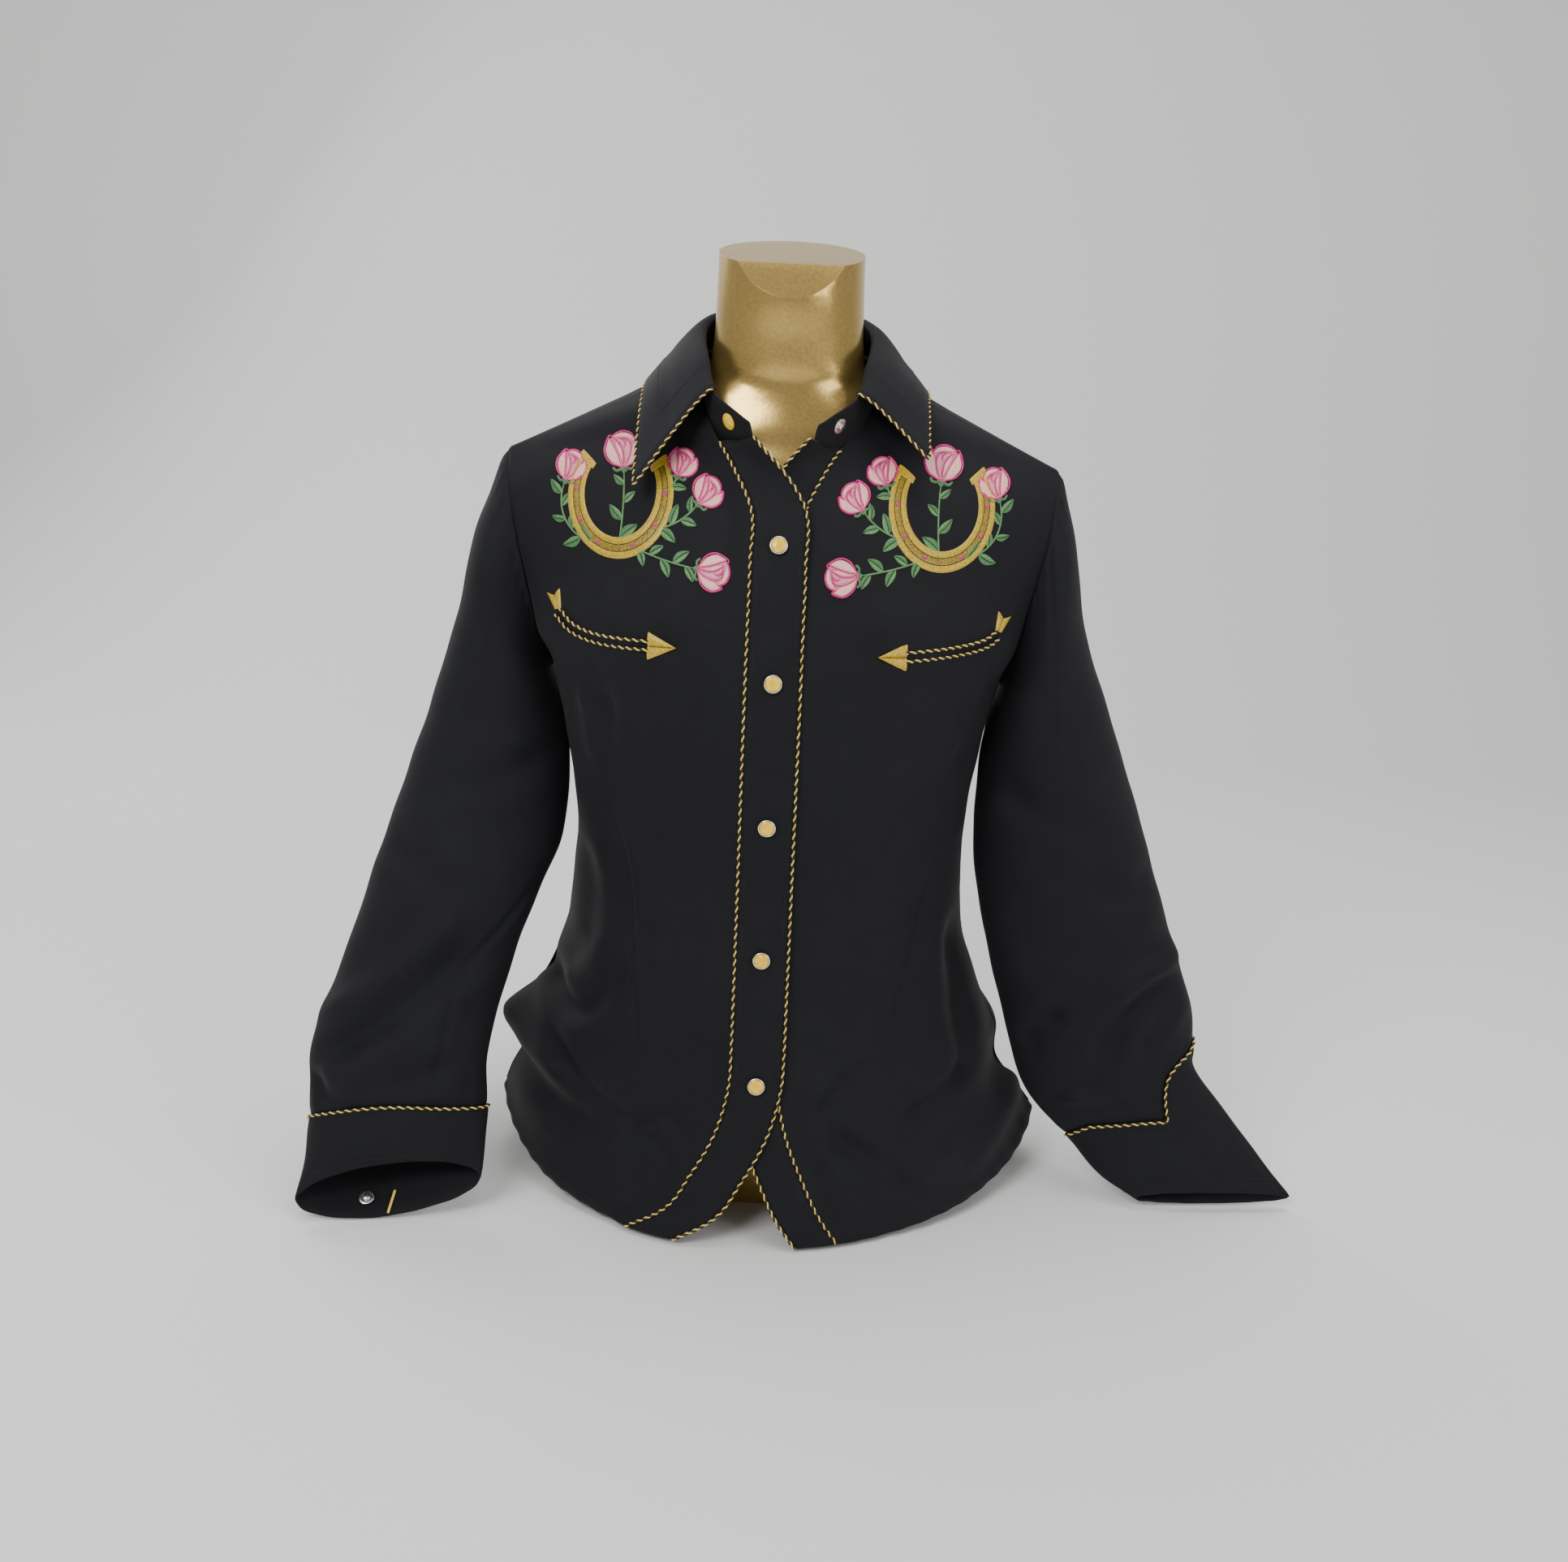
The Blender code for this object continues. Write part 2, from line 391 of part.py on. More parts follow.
def stand_point(w, height, lift):
    """Collar stand: w from -1 (over end) to 1 (under end), height 0 base to 1 top."""
    w, height = np.broadcast_arrays(np.asarray(w, float), np.asarray(height, float))

    def at(station):
        c = smooth(STAND_ROWS, np.abs(station))
        points = c[..., 0:3] * (1 - height[..., None]) + c[..., 3:6] * height[..., None]
        points[..., 0] *= np.where(station < 0, -1, 1)
        return points

    along = at(w + 0.01) - at(w - 0.01)
    up = smooth(STAND_ROWS, np.abs(w))[..., 3:6] - smooth(STAND_ROWS, np.abs(w))[..., 0:3]
    up[..., 0] *= np.where(w < 0, -1, 1)
    normal = np.cross(up, along)
    normal /= np.linalg.norm(normal, axis=-1, keepdims=True)
    outward = np.sum((normal * at(w))[..., :2], -1, keepdims=True)
    normal = normal * np.sign(outward)
    return at(w) + normal * np.asarray(lift)[..., None]


def fall_point(w, t):
    """Collar fall: w as on the stand, t from the fold 0 to the outer edge 1."""
    w, t = np.broadcast_arrays(np.asarray(w, float), np.asarray(t, float))
    far = np.abs(w)
    top = smooth(STAND_ROWS, far)[..., 3:6]
    c = smooth(FALL_ROWS, far)
    edge = np.where((w < 0)[..., None], c[..., 2:5], c[..., 5:8])
    out = edge - top
    out[..., 2] = 0
    out /= np.linalg.norm(out, axis=-1, keepdims=True)
    rise = np.array([0.0, 0.0, 1.0])
    start = top + rise * 0.0006
    crest = start + rise * c[..., 1:2] * 1.2 + out * c[..., 0:1] * 0.1
    shoulder = start + rise * c[..., 1:2] * 0.4 + out * c[..., 0:1] * 1.1
    points = bezier(np.stack([start, crest, shoulder, edge], -2), t)
    points[..., 0] *= np.where(w < 0, -1, 1)
    return points


# ---- Blender objects ----------------------------------------------------------------------
def material(name, colour, roughness, metallic=0.0):
    made = bpy.data.materials.new(name)
    made.use_nodes = True
    shader = made.node_tree.nodes["Principled BSDF"]
    shader.inputs["Base Color"].default_value = (*colour, 1.0)
    shader.inputs["Roughness"].default_value = roughness
    shader.inputs["Metallic"].default_value = metallic
    return made


def add_object(name, data, collection, slot):
    made = bpy.data.objects.new(name, data)
    made.data.materials.append(slot)
    collection.objects.link(made)
    return made


def grid_mesh(name, grids, closed=False):
    """A mesh over grids of points (rows, columns, 3), joined where they touch."""
    mesh = bmesh.new()
    for points in grids:
        rows, columns = points.shape[:2]
        verts = [[mesh.verts.new(p) for p in row] for row in points.tolist()]
        for i in range(rows - 1):
            for j in range(columns if closed else columns - 1):
                k = (j + 1) % columns
                mesh.faces.new((verts[i][j], verts[i][k], verts[i + 1][k], verts[i + 1][j]))
    bmesh.ops.remove_doubles(mesh, verts=mesh.verts, dist=1e-6)
    data = bpy.data.meshes.new(name)
    mesh.to_mesh(data)
    mesh.free()
    return data


def add_cloth(name, grids, thickness, collection, slot, closed=False):
    """A cloth panel: open grids given their wall outward by Solidify."""
    made = add_object(name, grid_mesh(name, grids, closed), collection, slot)
    wall = made.modifiers.new("wall", "SOLIDIFY")
    wall.thickness = thickness
    wall.offset = 1.0
    wall.use_even_offset = True
    made.data.shade_smooth()
    return made


def add_cord(name, points, collection, slot, radius=CORD_RADIUS):
    """A piping cord: a poly curve with filled ends."""
    curve = bpy.data.curves.new(name, "CURVE")
    curve.dimensions = "3D"
    line = curve.splines.new("POLY")
    line.points.add(len(points) - 1)
    for point, place in zip(line.points, points.tolist()):
        point.co = (*place, 1.0)
    curve.bevel_depth = radius
    curve.bevel_resolution = 2
    curve.use_fill_caps = True
    return add_object(name, curve, collection, slot)


def add_turned(name, profile, place, normal, collection, slot, sides=16):
    """A turned solid: (radius, height) pairs from its lower centre to its upper centre."""
    mesh = bmesh.new()
    low = mesh.verts.new((0, 0, profile[0][1]))
    high = mesh.verts.new((0, 0, profile[-1][1]))
    rings = []
    for radius, height in profile[1:-1]:
        angles = [2 * math.pi * k / sides for k in range(sides)]
        rings.append([mesh.verts.new((radius * math.cos(a), radius * math.sin(a), height)) for a in angles])
    for k in range(sides):
        n = (k + 1) % sides
        mesh.faces.new((low, rings[0][n], rings[0][k]))
        mesh.faces.new((high, rings[-1][k], rings[-1][n]))
        for inner, outer in zip(rings, rings[1:]):
            mesh.faces.new((inner[k], inner[n], outer[n], outer[k]))
    data = bpy.data.meshes.new(name)
    mesh.to_mesh(data)
    mesh.free()
    made = add_object(name, data, collection, slot)
    made.location = Vector(place)
    made.rotation_euler = Vector(normal).to_track_quat("Z", "Y").to_euler()
    data.shade_smooth()
    return made


# ---- parts ----------------------------------------------------------------------------------
def graded(start, stop, count):
    """Even steps from start to stop along a new second axis."""
    return np.linspace(0, 1, count)[None, :] * (stop - start)[:, None] + start[:, None]


def band_shape(side):
    """Half width of a placket and its height above the front surface at each band row."""
    if side < 0:
        return HALF_BAND, smooth(BAND_ROWS, BAND_V)[:, 2]
    return HALF_UNDER, np.zeros(len(BAND_V))


def slant(side, v):
    """How much longer a step across the rows is than the same step square to the band's edge."""
    step = 0.002
    along = torso_point(side, -1, 0.0, v + step) - torso_point(side, -1, 0.0, v - step)
    across = torso_point(side, -1, step, v) - torso_point(side, -1, -step, v)
    lengths = np.linalg.norm(along, axis=-1) * np.linalg.norm(across, axis=-1)
    return lengths / np.linalg.norm(np.cross(along, across), axis=-1)


def build_front(side, collection, slot):
    name = "front_right" if side < 0 else "front_left"
    half, _ = band_shape(side)
    channel = (2 * CORD_RADIUS + 2 * CORD_GAP) * slant(side, np.minimum(FRONT_V, BAND_V[-1]))
    neck = np.clip((0.975 - FRONT_V) / (0.975 - PLACKET_TOP_V), 0, 1)
    inner = SEAM + (half + channel - SEAM) * neck
    outer = torso_length(side, -1, FRONT_V) - SEAM / 2
    points = torso_point(side, -1, graded(inner, outer, 11), FRONT_V[:, None])
    if side < 0:
        points = points[:, ::-1]
    return add_cloth(name, [points], CLOTH, collection, slot)


def build_back(collection, slot):
    halves = []
    for side in (-1, 1):
        outer = torso_length(side, 1, BACK_V) - SEAM / 2
        points = torso_point(side, 1, graded(0 * BACK_V, outer, 10), BACK_V[:, None])
        halves.append(points if side < 0 else points[:, ::-1])
    return add_cloth("back", halves, CLOTH, collection, slot)


def build_placket(side, collection, slot):
    name = "placket_right" if side < 0 else "placket_left"
    half, lift = band_shape(side)
    a = graded(0 * BAND_V - half, 0 * BAND_V + half, 3)
    points = lifted(side, -1, a, BAND_V[:, None], lift[:, None])
    if side < 0:
        points = points[:, ::-1]
    return add_cloth(name, [points], BAND, collection, slot)


def build_band_cords(side, collection, slot):
    half, lift = band_shape(side)
    out = half + (CORD_RADIUS + CORD_GAP) * slant(side, BAND_V)
    lift = lift + (BAND / 2 if side < 0 else CORD_RADIUS)
    hand = "right" if side < 0 else "left"
    for name, a in (("edge", -out), ("seam", out)):
        points = lifted(side, -1, a, BAND_V, lift)
        points[:, 2] = np.maximum(points[:, 2], CORD_RADIUS + SEAM)
        add_cord(f"piping_{name}_{hand}", points, collection, slot)


def build_sleeve(side, collection, slot):
    name = "sleeve_right" if side < 0 else "sleeve_left"
    turn = np.arange(18) / 18
    rows = np.array([0.0, 0.045, 0.09, 0.14, 0.19, 0.25, 0.31, 0.38, 0.46, 0.55, 0.64, 0.73, 0.82, 0.92, 1.0])
    s = rows[:, None] * (cuff_edge(side, turn)[None, :] - CUFF_GAP)
    points = sleeve_point(side, turn[None, :], s)
    if side < 0:
        points = points[:, ::-1]
    return add_cloth(name, [points], CLOTH, collection, slot, closed=True)


def build_cuff(side, collection, slot):
    name = "cuff_right" if side < 0 else "cuff_left"
    turn = np.arange(18) / 18
    part = np.array([0.0, 0.3, 0.65, 1.0])[:, None]
    edge = cuff_edge(side, turn)[None, :]
    points = sleeve_point(side, turn[None, :], edge + part * (1 - edge))
    if side < 0:
        points = points[:, ::-1]
    return add_cloth(name, [points], BAND, collection, slot, closed=True)


def build_cuff_cord(side, collection, slot):
    name = "piping_cuff_right" if side < 0 else "piping_cuff_left"
    turn = np.linspace(0.5, -0.47, 34)
    points = sleeve_lifted(side, turn, cuff_edge(side, turn) + 0.002, BAND + CORD_RADIUS + 2 * SEAM)
    add_cord(name, points, collection, slot)


def build_stand(collection, slot):
    w = np.array([-1.0, -0.965, -0.95, -0.93, -0.90, -0.85, -0.78, -0.70, -0.6, -0.5, -0.35, -0.18, 0.0])
    w = np.concatenate([w, -w[-2::-1]])
    height = np.array([0.0, 0.5, 1.0])[:, None]
    points = stand_point(w[None, :], height, 0.0)
    return add_cloth("collar_stand", [points[::-1]], BAND, collection, slot)


def build_collar(collection, slot):
    w = np.array([-0.90, -0.84, -0.78, -0.71, -0.64, -0.56, -0.46, -0.34, -0.18, 0.0])
    w = np.concatenate([w, -w[-2::-1]])
    t = np.array([0.0, 0.16, 0.36, 0.66, 1.0])[:, None]
    points = fall_point(w[None, :], t)
    return add_cloth("collar", [points], BAND, collection, slot)


def build_collar_cord(collection, slot):
    t = np.linspace(0.22, 0.9, 4)
    w = np.concatenate([np.linspace(-FALL_END, 0, 14), np.linspace(0, FALL_END, 14)[1:]])
    left = fall_point(-FALL_END, t)
    edge = fall_point(w, 1.0)
    right = fall_point(FALL_END, t[::-1])
    line = np.concatenate([left, edge, right])
    centre = np.array([0.0, 0.03, 0.62])
    out = line - centre
    out[:, 2] = 0
    out /= np.linalg.norm(out, axis=1, keepdims=True)
    down = np.array([0.0, -0.2, -1.0])
    away = out + down * 0.15
    away[:4] = away[-4:] = np.array([0.0, -1.0, -0.3])
    away /= np.linalg.norm(away, axis=1, keepdims=True)
    line = line + away * (CORD_RADIUS + SEAM + BAND)
    add_cord("piping_collar", line, collection, slot)


def front_place(side, x, z):
    """The a and v of a front-view position, found by a few fixed-point steps; x is outward."""
    a, v = x, 0.5
    for _ in range(30):
        at = torso_point(side, -1, a, v)
        a += (x - side * float(at[0])) * 0.8
        v += (z - float(at[2])) * 1.2
    return a, v


def scaled(profile):
    return [(radius * MM, height * MM) for radius, height in profile]


def build_snaps(collection, metal, pearl):
    for number, z in enumerate(SNAP_HEIGHTS, 1):
        a, v = front_place(-1, 0.0, z)
        lift = float(smooth(BAND_ROWS, v)[2]) + BAND + 2 * SEAM
        base = lifted(-1, -1, a, v, lift)
        normal = lifted(-1, -1, a, v, lift + 0.01) - base
        add_turned(f"snap_rim_{number}", scaled(RIM_PROFILE), base, normal, collection, metal)
        add_turned(f"snap_pearl_{number}", scaled(PEARL_PROFILE), base, normal, collection, pearl)
    for name, w, slot in (("neck_snap_cap", -0.95, pearl), ("neck_snap_stud", 0.95, metal)):
        base = stand_point(w, 0.5, BAND + SEAM)
        normal = stand_point(w, 0.5, BAND + 0.01) - base
        add_turned(name, scaled(NECK_SNAP_PROFILE), base, normal, collection, slot)


def pocket_line(side, offset, count=10):
    """Cord points of a pocket in a and v, moved down by offset."""
    places = POCKET_OVER if side < 0 else POCKET_UNDER
    table = [(k / (len(places) - 1), x, z) for k, (x, z) in enumerate(places)]
    path = smooth(table, np.linspace(0, 1, count))
    step = np.gradient(path, axis=0)
    normal = np.stack([step[:, 1], -step[:, 0]], -1)
    normal /= np.linalg.norm(normal, axis=1, keepdims=True)
    path = path + normal * offset
    return np.array([front_place(side, x, z) for x, z in path])


def flat_patch(side, outline, lift, thickness, name, collection, slot):
    """A thin plate on the front whose (x, z) rows are given as left and right ends."""
    rows = []
    for start, stop in outline:
        ends = [np.array(start) * (1 - t) + np.array(stop) * t for t in (0, 0.5, 1)]
        places = np.array([front_place(side, x, z) for x, z in ends])
        rows.append(lifted(side, -1, places[:, 0], places[:, 1], lift))
    points = np.array(rows)
    if side < 0:
        points = points[:, ::-1]
    return add_cloth(name, [points], thickness, collection, slot)


def build_pockets(side, collection, piping, gold):
    hand = "right" if side < 0 else "left"
    lift = CLOTH + CORD_RADIUS + SEAM
    half = POCKET_CORD_STEP / 2
    for name, offset in (("upper", -half), ("lower", half)):
        line = pocket_line(side, offset)
        points = lifted(side, -1, line[:, 0], line[:, 1], lift)
        add_cord(f"pocket_cord_{name}_{hand}", points, collection, piping)
    places = POCKET_OVER if side < 0 else POCKET_UNDER
    tip_x, tip_z = places[-1]
    head = []
    for along, half_width in ((-0.001, 0.5), (-0.010, 0.27), (-0.0195, 0.03)):
        reach = half_width * ARROW_WIDTH
        head.append(((tip_x + along, tip_z - reach), (tip_x + along, tip_z + reach)))
    flat_patch(side, head, CLOTH + SEAM, 0.0012, f"arrow_head_{hand}", collection, gold)
    end_x, end_z = places[0]
    tail = []
    for along, reach in ((0.0035, 0.003), (0.008, 0.0062), (0.013, 0.004)):
        x, z = end_x + 0.35 * along, end_z + 0.9 * along
        tail.append(((x - reach, z + 0.4 * reach), (x + reach, z - 0.4 * reach)))
    flat_patch(side, tail, CLOTH + 2 * SEAM, 0.0012, f"arrow_tail_{hand}", collection, gold)


def build_form(collection, slot):
    z = np.concatenate([np.linspace(0, 0.50, 14), np.linspace(0.52, 0.64, 11), [0.665, 0.70, 0.74]])
    rings = smooth(FORM_RINGS, z)
    angle = 2 * np.pi * np.arange(28) / 28
    cosine, sine = np.cos(angle), np.sin(angle)
    points = []
    for height, (width, front, back, square) in zip(z, rings):
        x = width * np.sign(cosine) * np.abs(cosine)**(2 / square)
        depth = np.where(sine < 0, front, back)
        y = depth * np.sign(sine) * np.abs(sine)**(2 / square)
        points.append(np.stack([x, y, np.full(28, height)], -1))
    data = grid_mesh("dress_form", [np.array(points)], closed=True)
    mesh = bmesh.new()
    mesh.from_mesh(data)
    bmesh.ops.holes_fill(mesh, edges=mesh.edges[:])
    cuts = (((0, 0.05, NECK_CAP), (0, -0.27, 1)), (NECK_FACET, (0, -0.84, 0.54)))
    for place, normal in cuts:
        geometry = mesh.verts[:] + mesh.edges[:] + mesh.faces[:]
        bmesh.ops.bisect_plane(mesh, geom=geometry, plane_co=place, plane_no=normal, clear_outer=True)
        bmesh.ops.holes_fill(mesh, edges=[e for e in mesh.edges if e.is_boundary])
    bmesh.ops.recalc_face_normals(mesh, faces=mesh.faces)
    mesh.to_mesh(data)
    mesh.free()
    made = add_object("dress_form", data, collection, slot)
    data.shade_smooth()
    data.set_sharp_from_angle(angle=math.radians(35))
    return made


def main():
    for old in list(bpy.data.objects):
        bpy.data.objects.remove(old)
    shirt = bpy.data.collections.new("western_snap_shirt")
    bpy.context.scene.collection.children.link(shirt)
    cloth = material("black_twill", (0.012, 0.013, 0.018), 0.85)
    piping = material("piping", (0.78, 0.60, 0.16), 0.6)
    gold_thread = material("gold_thread", (0.62, 0.47, 0.09), 0.5)
    pearl = material("pearl", (0.85, 0.62, 0.10), 0.25)
    metal = material("snap_metal", (0.75, 0.74, 0.70), 0.3, 1.0)
    gold_paint = material("gold_paint", (0.55, 0.43, 0.20), 0.35, 0.8)
    build_form(shirt, gold_paint)
    build_back(shirt, cloth)
    for side in (-1, 1):
        build_front(side, shirt, cloth)
        build_placket(side, shirt, cloth)
        build_band_cords(side, shirt, piping)
        build_sleeve(side, shirt, cloth)
        build_cuff(side, shirt, cloth)
        build_cuff_cord(side, shirt, piping)
        build_pockets(side, shirt, piping, gold_thread)
    build_stand(shirt, cloth)
    build_collar(shirt, cloth)
    build_collar_cord(shirt, piping)
    build_snaps(shirt, metal, pearl)


main()
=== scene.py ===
import math

import bmesh
import bpy
import numpy as np
from mathutils import Matrix, Vector


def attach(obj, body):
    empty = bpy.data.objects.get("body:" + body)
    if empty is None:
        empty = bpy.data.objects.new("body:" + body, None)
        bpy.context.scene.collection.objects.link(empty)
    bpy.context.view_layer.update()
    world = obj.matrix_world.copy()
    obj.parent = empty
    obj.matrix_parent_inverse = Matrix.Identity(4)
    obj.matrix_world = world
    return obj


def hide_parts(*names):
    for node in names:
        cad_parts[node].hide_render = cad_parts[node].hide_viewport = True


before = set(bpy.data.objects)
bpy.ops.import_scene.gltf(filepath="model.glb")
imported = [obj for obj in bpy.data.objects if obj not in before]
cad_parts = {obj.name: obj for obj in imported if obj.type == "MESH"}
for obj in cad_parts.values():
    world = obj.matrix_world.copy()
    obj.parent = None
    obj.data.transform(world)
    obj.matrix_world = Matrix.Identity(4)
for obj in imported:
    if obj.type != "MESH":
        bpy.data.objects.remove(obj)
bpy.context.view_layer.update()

CLOTH = 0.0012          # wall of one cotton twill panel
BAND = 0.0016           # wall of a folded, fused band
SEAM = 0.0003           # gap between pieces
HALF_BAND = 0.0175      # half the width of the over placket
HALF_UNDER = 0.0147     # half the width of the under placket
CORD_RADIUS = 0.0011    # twisted piping
CORD_GAP = 0.00045      # gap beside a cord
TIP_V = 0.68            # row at which the side seam ends and the armhole starts
PLACKET_TOP_V = 0.925   # row at which the placket meets the collar stand
BACK_NECK_V = 0.94      # row at which the back's centre line ends at the neckline
CUFF_START = 0.86       # sleeve position of the cuff's top edge
SNAP_HEIGHTS = (0.500, 0.411, 0.310, 0.211, 0.117)
NECK_CAP = 0.717        # height of the back edge of the neck's slanted cap
NECK_FACET = (0.0, -0.040, 0.692)
MM = 0.001
HEM_V, SHOULDER_V, BAND_TOP_V = 0.003, 0.9995, 0.92     # first and last rows that are built
HEM_STITCH_V = 0.0135   # row of the hem's stitches
STITCH_LIFT = 0.00005   # how far stitches stand off the cloth's face
PROBE = 0.001           # lift that finds the way out of a surface
HAND = {-1: "right", 1: "left"}
HALF = {-1: HALF_BAND, 1: HALF_UNDER}

# ---- front: one row per cross section, from the hem up -------------------------------------
# v, start (x, y, z) on the placket's centre line, lead (x, y, z) from it,
# end x on the over and the under side, end (y, z), trail (x, y, z) back from the end
FRONT_ROWS = (
    (0.000, 0.000, -0.1710, 0.0013, 0.092, 0.000, 0.000, 0.207, 0.226, 0.000, 0.046, -0.020, -0.085, -0.048),
    (0.050, 0.000, -0.1600, 0.0300, 0.090, 0.000, 0.000, 0.199, 0.206, 0.000, 0.070, -0.010, -0.085, -0.030),
    (0.100, 0.000, -0.1510, 0.0600, 0.088, 0.000, 0.000, 0.190, 0.190, 0.000, 0.092, -0.004, -0.080, -0.020),
    (0.160, 0.000, -0.1430, 0.0970, 0.086, 0.000, 0.000, 0.190, 0.183, 0.000, 0.120, 0.000, -0.078, -0.014),
    (0.220, 0.000, -0.1380, 0.1330, 0.085, 0.000, 0.000, 0.173, 0.172, 0.000, 0.148, 0.000, -0.075, -0.010),
    (0.300, 0.000, -0.1340, 0.1820, 0.084, 0.000, 0.000, 0.157, 0.158, 0.000, 0.190, 0.000, -0.072, -0.005),
    (0.400, 0.000, -0.1340, 0.2420, 0.082, 0.000, 0.000, 0.149, 0.151, 0.000, 0.245, 0.000, -0.072, 0.000),
    (0.500, 0.000, -0.1380, 0.3030, 0.083, 0.000, 0.000, 0.150, 0.153, 0.000, 0.300, 0.000, -0.075, 0.000),
    (0.600, 0.000, -0.1430, 0.3600, 0.086, 0.000, 0.000, 0.158, 0.160, 0.000, 0.352, 0.000, -0.078, 0.000),
    (0.665, 0.000, -0.1433, 0.3990, 0.088, 0.000, 0.000, 0.166, 0.168, 0.000, 0.3885, 0.000, -0.080, 0.002),
    (0.680, 0.000, -0.1430, 0.4080, 0.088, 0.000, 0.000, 0.168, 0.170, 0.000, 0.398, 0.000, -0.080, 0.002),
    (0.740, 0.000, -0.1360, 0.4460, 0.086, 0.000, 0.000, 0.177, 0.178, -0.030, 0.426, -0.008, -0.060, 0.006),
    (0.800, 0.000, -0.1240, 0.4880, 0.080, 0.000, 0.000, 0.185, 0.186, -0.038, 0.463, -0.030, -0.042, 0.010),
    (0.865, 0.002, -0.1070, 0.5270, 0.066, 0.004, 0.000, 0.195, 0.196, -0.033, 0.503, -0.042, -0.028, 0.013),
    (0.925, 0.030, -0.0800, 0.5730, 0.018, 0.022, -0.008, 0.202, 0.202, -0.018, 0.533, -0.050, -0.028, 0.018),
    (0.950, 0.043, -0.0620, 0.5830, 0.026, 0.012, -0.010, 0.204, 0.204, -0.010, 0.544, -0.050, -0.014, 0.021),
    (0.975, 0.064, -0.0330, 0.6035, 0.036, 0.002, -0.014, 0.205, 0.205, -0.004, 0.551, -0.050, -0.006, 0.022),
    (1.000, 0.0715, 0.0040, 0.6205, 0.042, 0.000, -0.0195, 0.206, 0.206, 0.001, 0.556, -0.050, 0.000, 0.0232),
)
# v, sideways shift of the placket's centre line on the over and the under side,
# height of the over placket above the front surface
BAND_ROWS = (
    (0.00, 0.078, 0.050, 0.0032),
    (0.03, 0.048, 0.036, 0.0032),
    (0.08, 0.026, 0.020, 0.0032),
    (0.13, 0.010, 0.007, 0.0033),
    (0.19, 0.001, -0.001, 0.0035),
    (0.24, 0.000, -0.0028, 0.0037),
    (0.28, 0.000, -0.0028, 0.0037),
    (0.74, 0.000, -0.0028, 0.0037),
    (0.78, 0.000, -0.0028, 0.0042),
    (0.86, 0.000, 0.0000, 0.0058),
    (0.90, 0.000, 0.0000, 0.0056),
    (0.93, 0.000, 0.0000, 0.0050),
    (1.00, 0.000, 0.0000, 0.0050),
)
# v, start (x, y, z) at the centre back, lead (x, z), end (y, z), trail (x, y, z)
BACK_ROWS = (
    (0.000, 0.000, 0.150, 0.0040, 0.100, 0.000, 0.000, 0.046, -0.014, 0.085, -0.040),
    (0.050, 0.000, 0.146, 0.0340, 0.098, 0.000, 0.000, 0.070, -0.008, 0.083, -0.028),
    (0.100, 0.000, 0.143, 0.0640, 0.096, 0.000, 0.000, 0.092, -0.004, 0.080, -0.020),
    (0.160, 0.000, 0.140, 0.0980, 0.092, 0.000, 0.000, 0.120, 0.000, 0.076, -0.014),
    (0.220, 0.000, 0.134, 0.1340, 0.090, 0.000, 0.000, 0.148, 0.000, 0.072, -0.010),
    (0.300, 0.000, 0.120, 0.1820, 0.086, 0.000, 0.000, 0.190, 0.000, 0.066, -0.005),
    (0.400, 0.000, 0.107, 0.2420, 0.083, 0.000, 0.000, 0.245, 0.000, 0.060, 0.000),
    (0.500, 0.000, 0.105, 0.3030, 0.085, 0.000, 0.000, 0.300, 0.000, 0.060, 0.000),
    (0.600, 0.000, 0.110, 0.3600, 0.090, 0.000, 0.000, 0.352, 0.000, 0.064, 0.000),
    (0.665, 0.000, 0.1143, 0.3990, 0.094, 0.000, 0.000, 0.3885, 0.000, 0.068, 0.002),
    (0.680, 0.000, 0.115, 0.4080, 0.094, 0.000, 0.000, 0.398, 0.000, 0.068, 0.002),
    (0.740, 0.000, 0.117, 0.4480, 0.094, 0.000, 0.030, 0.426, -0.006, 0.054, 0.006),
    (0.800, 0.000, 0.116, 0.4940, 0.090, 0.000, 0.040, 0.463, -0.026, 0.042, 0.010),
    (0.865, 0.000, 0.109, 0.5450, 0.080, 0.000, 0.036, 0.503, -0.040, 0.030, 0.013),
    (0.910, 0.000, 0.098, 0.5860, 0.068, 0.000, 0.026, 0.526, -0.050, 0.022, 0.017),
    (0.940, 0.000, 0.070, 0.6370, 0.056, -0.016, 0.018, 0.538, -0.050, 0.016, 0.016),
    (0.965, 0.037, 0.0605, 0.6375, 0.040, -0.024, 0.010, 0.547, -0.050, 0.008, 0.019),
    (0.985, 0.063, 0.0340, 0.6300, 0.036, -0.020, 0.005, 0.5525, -0.050, 0.003, 0.022),
    (1.000, 0.0715, 0.0046, 0.6205, 0.040, -0.0186, 0.0016, 0.556, -0.050, 0.000, 0.0232),
)
